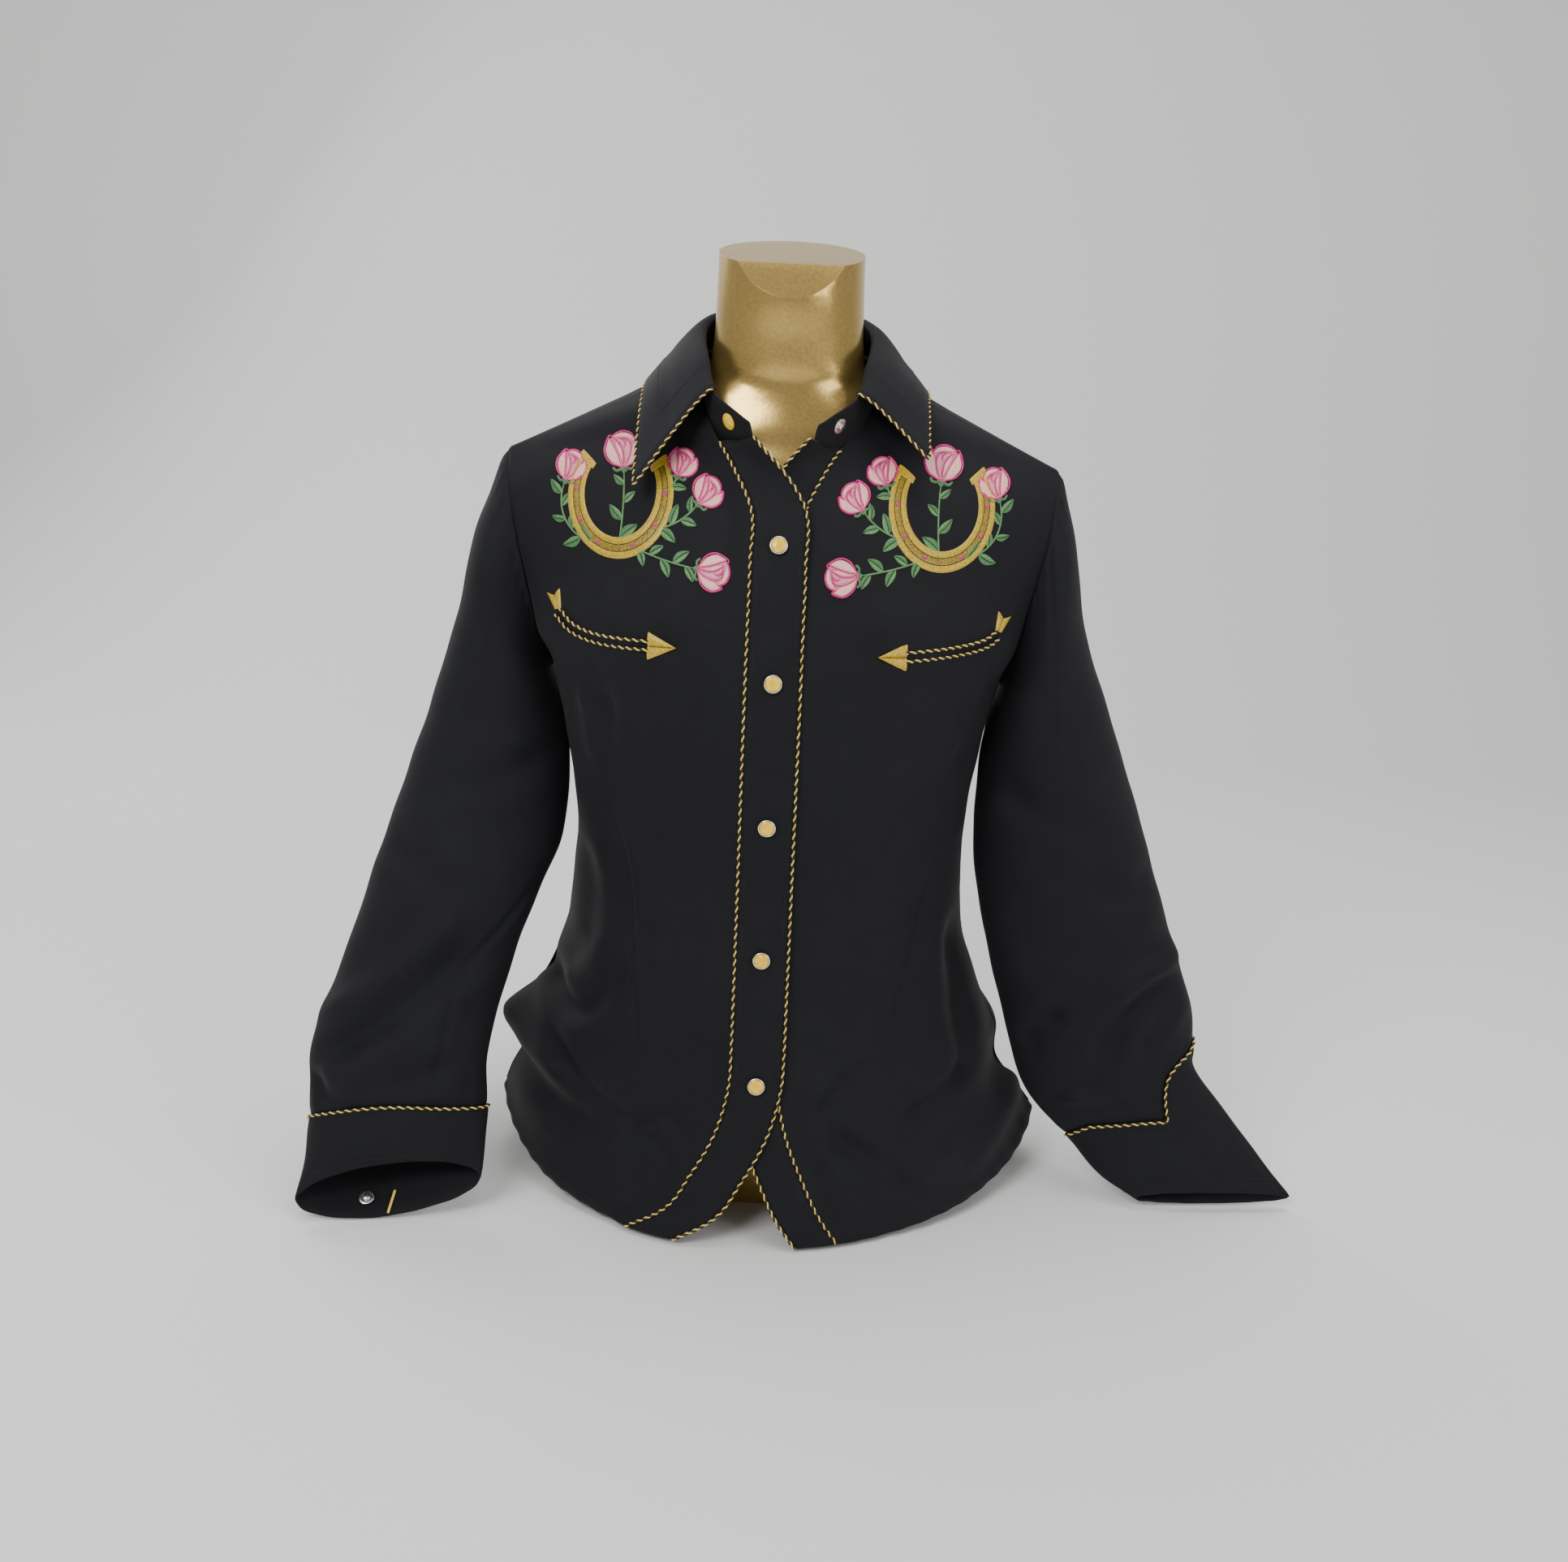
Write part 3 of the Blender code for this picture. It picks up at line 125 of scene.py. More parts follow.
# soft ridges (+) and troughs (-) of the cloth, each along a straight line in space:
# side (-1 over, +1 under), from (x, y, z), to (x, y, z), width, depth; x is outward
FOLDS = (
    (-1, 0.193, -0.006, 0.114, 0.150, -0.100, 0.094, 0.017, 0.009),
    (-1, 0.196, -0.010, 0.085, 0.130, -0.120, 0.078, 0.014, -0.006),
    (-1, 0.165, -0.030, 0.160, 0.140, -0.070, 0.195, 0.018, -0.005),
    (-1, 0.193, -0.006, 0.114, 0.110, 0.125, 0.105, 0.018, 0.007),
    (-1, 0.168, 0.040, 0.155, 0.080, 0.120, 0.200, 0.020, -0.005),
    (1, 0.158, -0.060, 0.190, 0.165, -0.070, 0.110, 0.016, -0.006),
    (1, 0.184, 0.020, 0.135, 0.184, 0.010, 0.115, 0.018, 0.006),
    (1, 0.130, -0.120, 0.050, 0.210, -0.020, 0.070, 0.018, 0.005),
    (1, 0.190, 0.030, 0.120, 0.110, 0.125, 0.095, 0.018, 0.007),
    (1, 0.166, 0.040, 0.160, 0.070, 0.120, 0.215, 0.020, -0.005),
)
# the fullness that a bust dart gives: x, y, z, radius, height
BUST = (0.085, -0.125, 0.425, 0.055, 0.007)

# ---- sleeves: one row per ring below the armhole --------------------------------------------
# s, centre (x, y, z), half axis to the outer contour (x, y, z), half axis to the front (x, y, z)
SLEEVE_OVER = (
    (0.09, 0.1995, 0.000, 0.4460, 0.0265, 0.000, 0.0560, 0.000, -0.0500, 0.000),
    (0.19, 0.2005, -0.008, 0.3950, 0.0390, 0.000, 0.0400, 0.000, -0.0500, 0.002),
    (0.30, 0.2090, -0.018, 0.3350, 0.0530, 0.000, 0.0200, 0.000, -0.0460, 0.010),
    (0.42, 0.2205, -0.032, 0.2800, 0.0620, 0.000, 0.0100, 0.000, -0.0400, 0.014),
    (0.55, 0.2380, -0.055, 0.2250, 0.0620, 0.000, 0.0020, 0.000, -0.0360, 0.013),
    (0.66, 0.2560, -0.078, 0.1650, 0.0620, 0.000, 0.0000, 0.000, -0.0310, 0.012),
    (0.77, 0.2685, -0.099, 0.1125, 0.0650, 0.000, -0.0010, 0.000, -0.0270, 0.011),
    (0.86, 0.2655, -0.113, 0.0750, 0.0640, -0.002, -0.0030, 0.000, -0.0220, 0.012),
    (0.93, 0.2655, -0.128, 0.0440, 0.0640, -0.004, -0.0060, 0.000, -0.0130, 0.017),
    (1.00, 0.2665, -0.143, 0.0235, 0.0640, -0.010, -0.0080, 0.002, 0.0030, 0.0190),
)
SLEEVE_UNDER = (
    (0.09, 0.1980, 0.000, 0.4480, 0.0230, 0.000, 0.0570, 0.000, -0.0500, 0.000),
    (0.19, 0.1985, -0.006, 0.4010, 0.0335, 0.000, 0.0390, 0.000, -0.0490, 0.000),
    (0.30, 0.2080, -0.014, 0.3475, 0.0475, 0.000, 0.0280, 0.000, -0.0460, 0.003),
    (0.42, 0.2205, -0.020, 0.2880, 0.0600, 0.000, 0.0190, 0.003, -0.0420, 0.005),
    (0.55, 0.2400, -0.032, 0.2165, 0.0670, 0.000, 0.0110, 0.003, -0.0370, 0.006),
    (0.66, 0.2600, -0.040, 0.1535, 0.0720, 0.000, 0.0040, 0.003, -0.0320, 0.006),
    (0.77, 0.2740, -0.048, 0.1030, 0.0620, 0.000, 0.0200, 0.003, -0.0240, 0.008),
    (0.86, 0.2940, -0.056, 0.0750, 0.0480, 0.001, 0.0260, 0.002, -0.0160, 0.007),
    (0.93, 0.3285, -0.066, 0.0370, 0.0560, 0.003, 0.0130, 0.001, -0.0090, 0.007),
    (1.00, 0.3580, -0.075, 0.0100, 0.0600, 0.005, 0.0000, 0.000, -0.0030, 0.0062),
)
# cuff top edges: angle round the sleeve in turns (0 outer, .25 front), rise above CUFF_START
CUFF_EDGE_OVER = ((0.00, 0.012), (0.12, 0.010), (0.25, 0.004), (0.35, 0.007), (0.50, -0.002),
                  (0.62, -0.02), (0.75, -0.12), (0.88, -0.02), (1.00, 0.012))
CUFF_EDGE_UNDER = ((0.00, -0.125), (0.111, -0.070), (0.222, 0.026), (0.30, 0.012), (0.38, -0.006),
                   (0.50, -0.006), (0.66, 0.004), (0.834, 0.012), (1.00, -0.125))

# ---- collar: one row per station from the centre back (0) to the front end (1) ---------------
# w, stand base (x, y, z), stand top (x, y, z)
STAND_ROWS = (
    (0.00, 0.000, 0.0695, 0.6395, 0.000, 0.0600, 0.6620),
    (0.25, 0.038, 0.0605, 0.6390, 0.034, 0.0530, 0.6610),
    (0.50, 0.064, 0.0335, 0.6325, 0.057, 0.0290, 0.6550),
    (0.65, 0.0715, 0.0040, 0.6224, 0.0620, 0.0040, 0.6440),
    (0.81, 0.0640, -0.034, 0.6054, 0.0570, -0.0400, 0.6230),
    (0.90, 0.0510, -0.059, 0.5830, 0.0500, -0.0660, 0.6030),
    (0.935, 0.0405, -0.069, 0.5725, 0.0430, -0.0790, 0.5970),
    (0.965, 0.0300, -0.082, 0.5755, 0.0340, -0.0900, 0.5910),
    (1.00, 0.0205, -0.094, 0.5795, 0.0240, -0.0965, 0.5845),
)
# w, roll and rise of the fold, then the outer edge (x, y, z) over and under
FALL_ROWS = (
    (0.00, 0.010, 0.006, 0.000, 0.094, 0.6300, 0.000, 0.094, 0.6300),
    (0.25, 0.010, 0.006, 0.052, 0.085, 0.6280, 0.052, 0.085, 0.6280),
    (0.50, 0.010, 0.006, 0.090, 0.048, 0.6180, 0.090, 0.048, 0.6180),
    (0.65, 0.010, 0.005, 0.1020, 0.006, 0.6105, 0.1020, 0.006, 0.6105),
    (0.78, 0.009, 0.004, 0.1030, -0.040, 0.5900, 0.1020, -0.036, 0.5980),
    (0.90, 0.008, 0.003, 0.1020, -0.094, 0.5370, 0.1010, -0.082, 0.5630),
)
FALL_END = 0.90

# ---- smile pockets: x and z of the cord's points in front view -----------------------------
POCKET_OVER = ((0.1550, 0.4450), (0.1430, 0.4360), (0.1220, 0.4315), (0.0860, 0.4310))
POCKET_UNDER = ((0.1580, 0.4420), (0.1480, 0.4365), (0.1260, 0.4330), (0.0900, 0.4305))
POCKET_CORD_STEP = 0.0058
# the arrow in millimetres: its head's lead, length and half width, then the stitched length,
# outer reach, half root and half spread of its fletching
HEAD_LEAD, HEAD_LENGTH, HEAD_HALF = 0.5, 19.5, 9.4
TAIL_LENGTH, TAIL_REACH, TAIL_ROOT, TAIL_SPREAD = 9.5, 13.5, 2.6, 6.2

# ---- dress form: z, half width, front depth, back depth, squareness -------------------------
FORM_RINGS = (
    (0.000, 0.146, 0.096, 0.112, 2.2),
    (0.060, 0.154, 0.104, 0.118, 2.2),
    (0.120, 0.152, 0.104, 0.116, 2.2),
    (0.190, 0.130, 0.094, 0.096, 2.2),
    (0.255, 0.118, 0.088, 0.080, 2.2),
    (0.320, 0.126, 0.100, 0.084, 2.2),
    (0.380, 0.138, 0.120, 0.090, 2.2),
    (0.430, 0.146, 0.122, 0.096, 2.2),
    (0.480, 0.156, 0.100, 0.096, 2.2),
    (0.520, 0.168, 0.080, 0.088, 2.2),
    (0.548, 0.175, 0.062, 0.076, 1.9),
    (0.562, 0.169, 0.055, 0.070, 1.8),
    (0.580, 0.144, 0.052, 0.062, 1.7),
    (0.598, 0.102, 0.048, 0.057, 1.7),
    (0.610, 0.0700, 0.047, 0.053, 1.8),
    (0.622, 0.0590, 0.049, 0.051, 1.9),
    (0.640, 0.0550, 0.051, 0.050, 2.0),
    (0.665, 0.0540, 0.055, 0.049, 2.0),
    (0.740, 0.0525, 0.055, 0.050, 2.0),
)


# ---- curves and surfaces --------------------------------------------------------------------
def unit(vectors):
    return vectors / np.maximum(np.linalg.norm(vectors, axis=-1, keepdims=True), 1e-12)


def tangents_of(keys, values):
    """Slope of a curve through the values at each key."""
    steps = np.diff(keys).reshape(-1, *[1] * (values.ndim - 1))
    slopes = np.diff(values, axis=0) / steps
    middle = (slopes[:-1] * steps[1:] + slopes[1:] * steps[:-1]) / (steps[1:] + steps[:-1])
    return np.concatenate([slopes[:1], middle, slopes[-1:]])


def hermite(t, h, low, low_slope, high, high_slope):
    """A cubic between two values with their slopes, at t along a step h."""
    return ((2 * t**3 - 3 * t**2 + 1) * low + (t**3 - 2 * t**2 + t) * h * low_slope
            + (3 * t**2 - 2 * t**3) * high + (t**3 - t**2) * h * high_slope)


def smooth(table, x):
    """Column values of a table at x, by a curve through its rows."""
    rows = np.asarray(table, float)
    keys, values = rows[:, 0], rows[:, 1:]
    tangents = tangents_of(keys, values)
    x = np.clip(np.asarray(x, float), keys[0], keys[-1])
    i = np.clip(np.searchsorted(keys, x, side="right") - 1, 0, len(keys) - 2)
    h = (keys[i + 1] - keys[i])[..., None]
    t = (x - keys[i])[..., None] / h
    return hermite(t, h, values[i], tangents[i], values[i + 1], tangents[i + 1])


def bezier(controls, t):
    """Points of cubic curves at t; controls are (..., 4, 3)."""
    t = np.asarray(t, float)[..., None]
    p = [controls[..., k, :] for k in range(4)]
    return (1 - t)**3 * p[0] + 3 * (1 - t)**2 * t * p[1] + 3 * (1 - t) * t**2 * p[2] + t**3 * p[3]


def front_controls(side, v):
    """The cross-section curves of the front at v, x outward."""
    c = smooth(FRONT_ROWS, v)
    shift = smooth(BAND_ROWS, v)[..., 0 if side < 0 else 1]
    start = c[..., 0:3]
    end_y = np.where(v < TIP_V, 0.0, c[..., 8])
    end = np.stack([c[..., 6 if side < 0 else 7], end_y, c[..., 9]], -1)
    lead, trail = c[..., 3:6], c[..., 10:13]
    return np.stack([start, start + lead, end + trail, end], -2), shift


def back_controls(side, v):
    """The cross-section curves of the back at v, x outward."""
    c = smooth(BACK_ROWS, v)
    f = smooth(FRONT_ROWS, v)
    start_x = np.where(v < BACK_NECK_V + 1e-6, 0.0, c[..., 0])
    start = np.stack([start_x, c[..., 1], c[..., 2]], -1)
    end_y = np.where(v < TIP_V, 0.0, c[..., 5])
    end = np.stack([f[..., 6 if side < 0 else 7], end_y, c[..., 6]], -1)
    lead = np.stack([c[..., 3], 0 * c[..., 3], c[..., 4]], -1)
    return np.stack([start, start + lead, end + c[..., 7:10], end], -2)


def at_length(controls, a, bend=1.0):
    """Points at the arc length a along each curve; before its start the curve is mirrored,
    with its bend kept (1) or run out straight (0)."""
    t = np.linspace(0, 1, 49)
    line = bezier(controls[..., None, :, :], np.broadcast_to(t, controls.shape[:-2] + t.shape))
    steps = np.linalg.norm(np.diff(line, axis=-2), axis=-1)
    length = np.concatenate([np.zeros(steps.shape[:-1] + (1,)), np.cumsum(steps, -1)], -1)
    flat_a, flat_length = np.ravel(np.abs(a)), length.reshape(-1, len(t))
    found = np.array([np.interp(x, row, t) for x, row in zip(flat_a, flat_length)])
    start = controls[..., 0, :]
    reach = bezier(controls, found.reshape(np.shape(a))) - start
    first = unit(controls[..., 1, :] - start)
    ahead = np.sum(reach * first, -1, keepdims=True) * first
    before = start - first * np.abs(a)[..., None] + (reach - ahead) * np.asarray(bend)[..., None]
    return np.where((np.asarray(a) < 0)[..., None], before, start + reach), length[..., -1]


def fold_depth(points, side):
    """Outward move of the folds at points of the smooth surface."""
    depth = np.zeros(points.shape[:-1])
    for row in FOLDS:
        if row[0] != side:
            continue
        start, stop, width, height = np.array(row[1:4]), np.array(row[4:7]), row[7], row[8]
        run = stop - start
        t = np.clip((points - start) @ run / (run @ run), 0, 1)
        away = np.linalg.norm(points - start - t[..., None] * run, axis=-1)
        depth += height * np.exp(-(away / width)**2)
    bust_x, bust_y, bust_z, radius, height = BUST
    away = np.linalg.norm(points - np.array([bust_x, bust_y, bust_z]), axis=-1)
    return depth + height * np.exp(-(away / radius)**2)


def torso_point(side, face, a, v):
    """Point of the shirt's body: a metres of cloth from the centre line, v from hem to shoulder."""
    a, v = np.broadcast_arrays(np.asarray(a, float), np.asarray(v, float))
    if face < 0:
        controls, shift = front_controls(side, v)
        points, _ = at_length(controls, a + shift, 1 - np.clip((v - 0.78) / 0.08, 0, 1))
    else:
        points, _ = at_length(back_controls(side, v), a)
    outward = np.stack([points[..., 0], points[..., 1] * 1.3, 0 * points[..., 2]], -1)
    outward = unit(outward)
    points = points + outward * fold_depth(points, side)[..., None]
    points[..., 0] *= side
    points[..., 2] = np.maximum(points[..., 2], 0.0013)
    return points


def torso_length(side, face, v):
    """Cloth from the placket's centre line, or the centre back, to the side seam or armhole."""
    v = np.asarray(v, float)
    if face < 0:
        controls, shift = front_controls(side, v)
        return at_length(controls, np.zeros(v.shape))[1] - shift
    return at_length(back_controls(side, v), np.zeros(v.shape))[1]


def lifted(side, face, a, v, lift):
    """Torso points moved out along the surface normal."""
    step = 0.002
    a, v = np.broadcast_arrays(np.asarray(a, float), np.asarray(v, float))
    high, low = np.minimum(v + step, 1), np.maximum(v - step, 0)
    across = torso_point(side, face, a + step, v) - torso_point(side, face, a - step, v)
    along = torso_point(side, face, a, high) - torso_point(side, face, a, low)
    normal = np.cross(across, along) * side * -face
    normal = unit(normal)
    return torso_point(side, face, a, v) + normal * np.asarray(lift)[..., None]


def armhole(side, turn):
    """Armhole seam: turn 0 at the shoulder tip, 0.25 front, 0.5 armpit, 0.75 back."""
    turn = np.asarray(turn, float) % 1
    down = np.where(turn <= 0.5, turn, 1 - turn) * 2
    v = 1 - (1 - TIP_V) * down
    front = front_controls(side, v)[0][..., 3, :]
    back = back_controls(side, v)[..., 3, :]
    points = np.where((turn <= 0.5)[..., None], front, back)
    points[..., 0] += SEAM + 0.0022 * np.sin(np.pi * down / 2)
    return points


def sleeve_rings(side):
    return SLEEVE_OVER if side < 0 else SLEEVE_UNDER


def sleeve_point(side, turn, s):
    """Sleeve surface: turn round it (0 outer, 0.25 front), s from the armhole 0 to the hand 1."""
    turn, s = np.broadcast_arrays(np.asarray(turn, float), np.asarray(s, float))
    angle = 2 * np.pi * turn
    start = armhole(side, turn)
    rings = [start]
    for row in np.asarray(sleeve_rings(side), float):
        rings.append(row[1:4] + row[4:7] * np.cos(angle)[..., None] + row[7:10] * np.sin(angle)[..., None])
    rings = np.stack(rings)
    keys = np.array([0.0] + [row[0] for row in sleeve_rings(side)])
    tangents = tangents_of(keys, rings)
    i = np.clip(np.searchsorted(keys, s, side="right") - 1, 0, len(keys) - 2)
    h = (keys[i + 1] - keys[i])[..., None]
    t = (s - keys[i])[..., None] / h
    points = hermite(t, h, *(
        np.take_along_axis(stack, k[None, ..., None], 0)[0]
        for stack, k in ((rings, i), (tangents, i), (rings, i + 1), (tangents, i + 1))))
    points[..., 0] *= side
    return points


def sleeve_lifted(side, turn, s, lift):
    """Sleeve points moved out along the surface normal."""
    step = 0.004
    turn, s = np.broadcast_arrays(np.asarray(turn, float), np.asarray(s, float))
    around = sleeve_point(side, turn + step, s) - sleeve_point(side, turn - step, s)
    low, high = np.maximum(s - step, 0), np.minimum(s + step, 1)
    down = sleeve_point(side, turn, high) - sleeve_point(side, turn, low)
    normal = np.cross(around, down) * side
    normal = unit(normal)
    return sleeve_point(side, turn, s) + normal * np.asarray(lift)[..., None]


def cuff_edge(side, turn):
    """Sleeve position of the cuff's top edge at each turn."""
    table = CUFF_EDGE_OVER if side < 0 else CUFF_EDGE_UNDER
    keys, rises = zip(*table)
    if side < 0:
        return CUFF_START + smooth(table, np.asarray(turn, float) % 1)[..., 0]
    return CUFF_START + np.interp(np.asarray(turn, float) % 1, keys, rises)


def stand_point(w, height, lift):
    """Collar stand: w from -1 (over end) to 1 (under end), height 0 base to 1 top."""
    w, height = np.broadcast_arrays(np.asarray(w, float), np.asarray(height, float))

    def at(station):
        c = smooth(STAND_ROWS, np.abs(station))
        points = c[..., 0:3] * (1 - height[..., None]) + c[..., 3:6] * height[..., None]
        points[..., 0] *= np.where(station < 0, -1, 1)
        return points

    along = at(w + 0.01) - at(w - 0.01)
    up = smooth(STAND_ROWS, np.abs(w))[..., 3:6] - smooth(STAND_ROWS, np.abs(w))[..., 0:3]
    up[..., 0] *= np.where(w < 0, -1, 1)
    normal = np.cross(up, along)
    normal = unit(normal)
    outward = np.sum((normal * at(w))[..., :2], -1, keepdims=True)
    normal = normal * np.sign(outward)
    return at(w) + normal * np.asarray(lift)[..., None]


def fall_point(w, t):
    """Collar fall: w as on the stand, t from the fold 0 to the outer edge 1."""
    w, t = np.broadcast_arrays(np.asarray(w, float), np.asarray(t, float))
    far = np.abs(w)
    top = smooth(STAND_ROWS, far)[..., 3:6]
    c = smooth(FALL_ROWS, far)
    edge = np.where((w < 0)[..., None], c[..., 2:5], c[..., 5:8])
    out = edge - top
    out[..., 2] = 0
    out = unit(out)
    rise = np.array([0.0, 0.0, 1.0])
    start = top + rise * 0.0006
    crest = start + rise * c[..., 1:2] * 1.2 + out * c[..., 0:1] * 0.1
    shoulder = start + rise * c[..., 1:2] * 0.4 + out * c[..., 0:1] * 1.1
    points = bezier(np.stack([start, crest, shoulder, edge], -2), t)
    points[..., 0] *= np.where(w < 0, -1, 1)
    return points


# ---- creases, listed in front view: x outward, z --------------------------------------------
# side (-1 over, +1 under), polyline of (x, z), width, depth
FRONT_CREASES = (
    (-1, ((0.131, 0.398), (0.124, 0.336)), 0.008, 0.0032),
    (-1, ((0.119, 0.399), (0.115, 0.342)), 0.007, -0.0030),
    (-1, ((0.117, 0.318), (0.094, 0.236), (0.089, 0.112)), 0.0022, -0.0013),
    (-1, ((0.112, 0.300), (0.098, 0.236), (0.094, 0.150)), 0.011, -0.0025),
    (-1, ((0.173, 0.162), (0.144, 0.139), (0.118, 0.161), (0.098, 0.199)), 0.009, -0.0075),
    (-1, ((0.164, 0.134), (0.143, 0.103), (0.095, 0.076), (0.069, 0.081)), 0.0075, -0.0045),
    (-1, ((0.173, 0.070), (0.135, 0.064), (0.101, 0.066)), 0.008, -0.0035),
    (-1, ((0.089, 0.070), (0.070, 0.081), (0.056, 0.069), (0.050, 0.048)), 0.0045, 0.0035),
    (-1, ((0.062, 0.379), (0.044, 0.350), (0.030, 0.305)), 0.016, -0.0026),
    (-1, ((0.050, 0.268), (0.062, 0.215), (0.060, 0.165)), 0.013, -0.0022),
    (-1, ((0.140, 0.275), (0.128, 0.235), (0.132, 0.195)), 0.009, -0.0026),
    (-1, ((0.070, 0.445), (0.095, 0.405)), 0.014, -0.0018),
    (1, ((0.122, 0.276), (0.102, 0.171), (0.098, 0.146)), 0.0022, -0.0013),
    (1, ((0.124, 0.262), (0.106, 0.190), (0.100, 0.150)), 0.011, -0.0026),
    (1, ((0.146, 0.422), (0.138, 0.385), (0.126, 0.347)), 0.008, 0.0034),
    (1, ((0.124, 0.410), (0.127, 0.350), (0.124, 0.288)), 0.010, 0.0024),
    (1, ((0.135, 0.400), (0.133, 0.340)), 0.007, -0.0028),
    (1, ((0.141, 0.229), (0.149, 0.180), (0.151, 0.149), (0.162, 0.114)), 0.008, -0.0060),
    (1, ((0.218, 0.106), (0.204, 0.061), (0.159, 0.030)), 0.010, 0.0040),
    (1, ((0.045, 0.086), (0.058, 0.113), (0.087, 0.133)), 0.0065, -0.0036),
    (1, ((0.045, 0.086), (0.088, 0.059), (0.129, 0.019)), 0.0065, -0.0036),
    (1, ((0.050, 0.075), (0.060, 0.045), (0.066, 0.015)), 0.008, 0.0026),
    (1, ((0.107, 0.083), (0.135, 0.092), (0.162, 0.111)), 0.008, -0.0042),
    (1, ((0.086, 0.244), (0.078, 0.210), (0.067, 0.176)), 0.014, -0.0024),
    (1, ((0.040, 0.300), (0.055, 0.255)), 0.014, -0.0020),
    (1, ((0.062, 0.445), (0.090, 0.400)), 0.014, -0.0018),
)
BACK_CREASES = (
    (-1, ((0.148, 0.305), (0.100, 0.272), (0.040, 0.262)), 0.010, -0.0040),
    (-1, ((0.146, 0.250), (0.105, 0.262), (0.060, 0.292)), 0.009, 0.0030),
    (-1, ((0.160, 0.165), (0.120, 0.128), (0.070, 0.112)), 0.010, -0.0055),
    (-1, ((0.060, 0.520), (0.085, 0.450), (0.092, 0.385)), 0.020, -0.0040),
    (-1, ((0.150, 0.405), (0.120, 0.370), (0.085, 0.330)), 0.011, -0.0038),
    (-1, ((0.030, 0.140), (0.045, 0.080), (0.040, 0.025)), 0.016, 0.0040),
    (1, ((0.150, 0.295), (0.095, 0.280), (0.030, 0.290)), 0.011, -0.0042),
    (1, ((0.148, 0.240), (0.110, 0.240), (0.050, 0.262)), 0.009, 0.0030),
    (1, ((0.165, 0.150), (0.120, 0.140), (0.060, 0.095)), 0.011, -0.0055),
    (1, ((0.070, 0.510), (0.090, 0.440), (0.088, 0.370)), 0.020, -0.0040),
    (1, ((0.152, 0.400), (0.125, 0.355), (0.080, 0.322)), 0.010, -0.0036),
    (1, ((0.010, 0.180), (0.022, 0.110), (0.030, 0.030)), 0.017, 0.0042),
)
# side, half (1 front, -1 back), polyline of (x, z), width, depth
SLEEVE_CREASES = (
    (-1, 1, ((0.334, 0.107), (0.270, 0.148), (0.203, 0.203)), 0.011, -0.0070),
    (-1, 1, ((0.331, 0.130), (0.275, 0.172), (0.222, 0.222)), 0.010, 0.0036),
    (-1, 1, ((0.334, 0.104), (0.315, 0.085), (0.295, 0.069)), 0.007, -0.0040),
    (-1, 1, ((0.167, 0.248), (0.203, 0.199), (0.225, 0.176), (0.230, 0.131), (0.243, 0.069)),
     0.0024, -0.0016),
    (-1, 1, ((0.192, 0.490), (0.212, 0.400), (0.224, 0.330)), 0.016, -0.0026),
    (-1, 1, ((0.160, 0.345), (0.195, 0.318), (0.240, 0.312)), 0.010, -0.0028),
    (-1, 1, ((0.285, 0.275), (0.250, 0.245), (0.215, 0.240)), 0.012, -0.0030),
    (-1, 1, ((0.220, 0.118), (0.250, 0.104), (0.285, 0.106)), 0.008, -0.0028),
    (1, 1, ((0.319, 0.187), (0.279, 0.159), (0.258, 0.111)), 0.009, -0.0065),
    (1, 1, ((0.326, 0.205), (0.290, 0.185), (0.262, 0.160)), 0.009, 0.0032),
    (1, 1, ((0.232, 0.156), (0.215, 0.142), (0.203, 0.122)), 0.008, -0.0045),
    (1, 1, ((0.318, 0.174), (0.302, 0.150), (0.291, 0.126)), 0.007, -0.0042),
    (1, 1, ((0.232, 0.083), (0.263, 0.088), (0.290, 0.099)), 0.006, 0.0032),
    (1, 1, ((0.194, 0.547), (0.206, 0.400), (0.221, 0.215)), 0.0020, -0.0007),
    (1, 1, ((0.165, 0.330), (0.200, 0.305), (0.245, 0.300)), 0.010, -0.0026),
    (1, 1, ((0.240, 0.255), (0.270, 0.250), (0.298, 0.268)), 0.011, -0.0028),
    (-1, -1, ((0.300, 0.230), (0.250, 0.190), (0.205, 0.170)), 0.012, -0.0055),
    (-1, -1, ((0.265, 0.330), (0.225, 0.300), (0.170, 0.300)), 0.012, -0.0045),
    (-1, -1, ((0.200, 0.480), (0.215, 0.420), (0.230, 0.350)), 0.015, -0.0030),
    (1, -1, ((0.310, 0.220), (0.262, 0.190), (0.205, 0.185)), 0.012, -0.0055),
    (1, -1, ((0.270, 0.335), (0.225, 0.310), (0.172, 0.318)), 0.012, -0.0045),
    (1, -1, ((0.200, 0.485), (0.212, 0.420), (0.228, 0.350)), 0.015, -0.0030),
)


# ---- fine relief of the cloth ---------------------------------------------------------------
def soft_step(x):
    x = np.clip(x, 0, 1)
    return x * x * (3 - 2 * x)


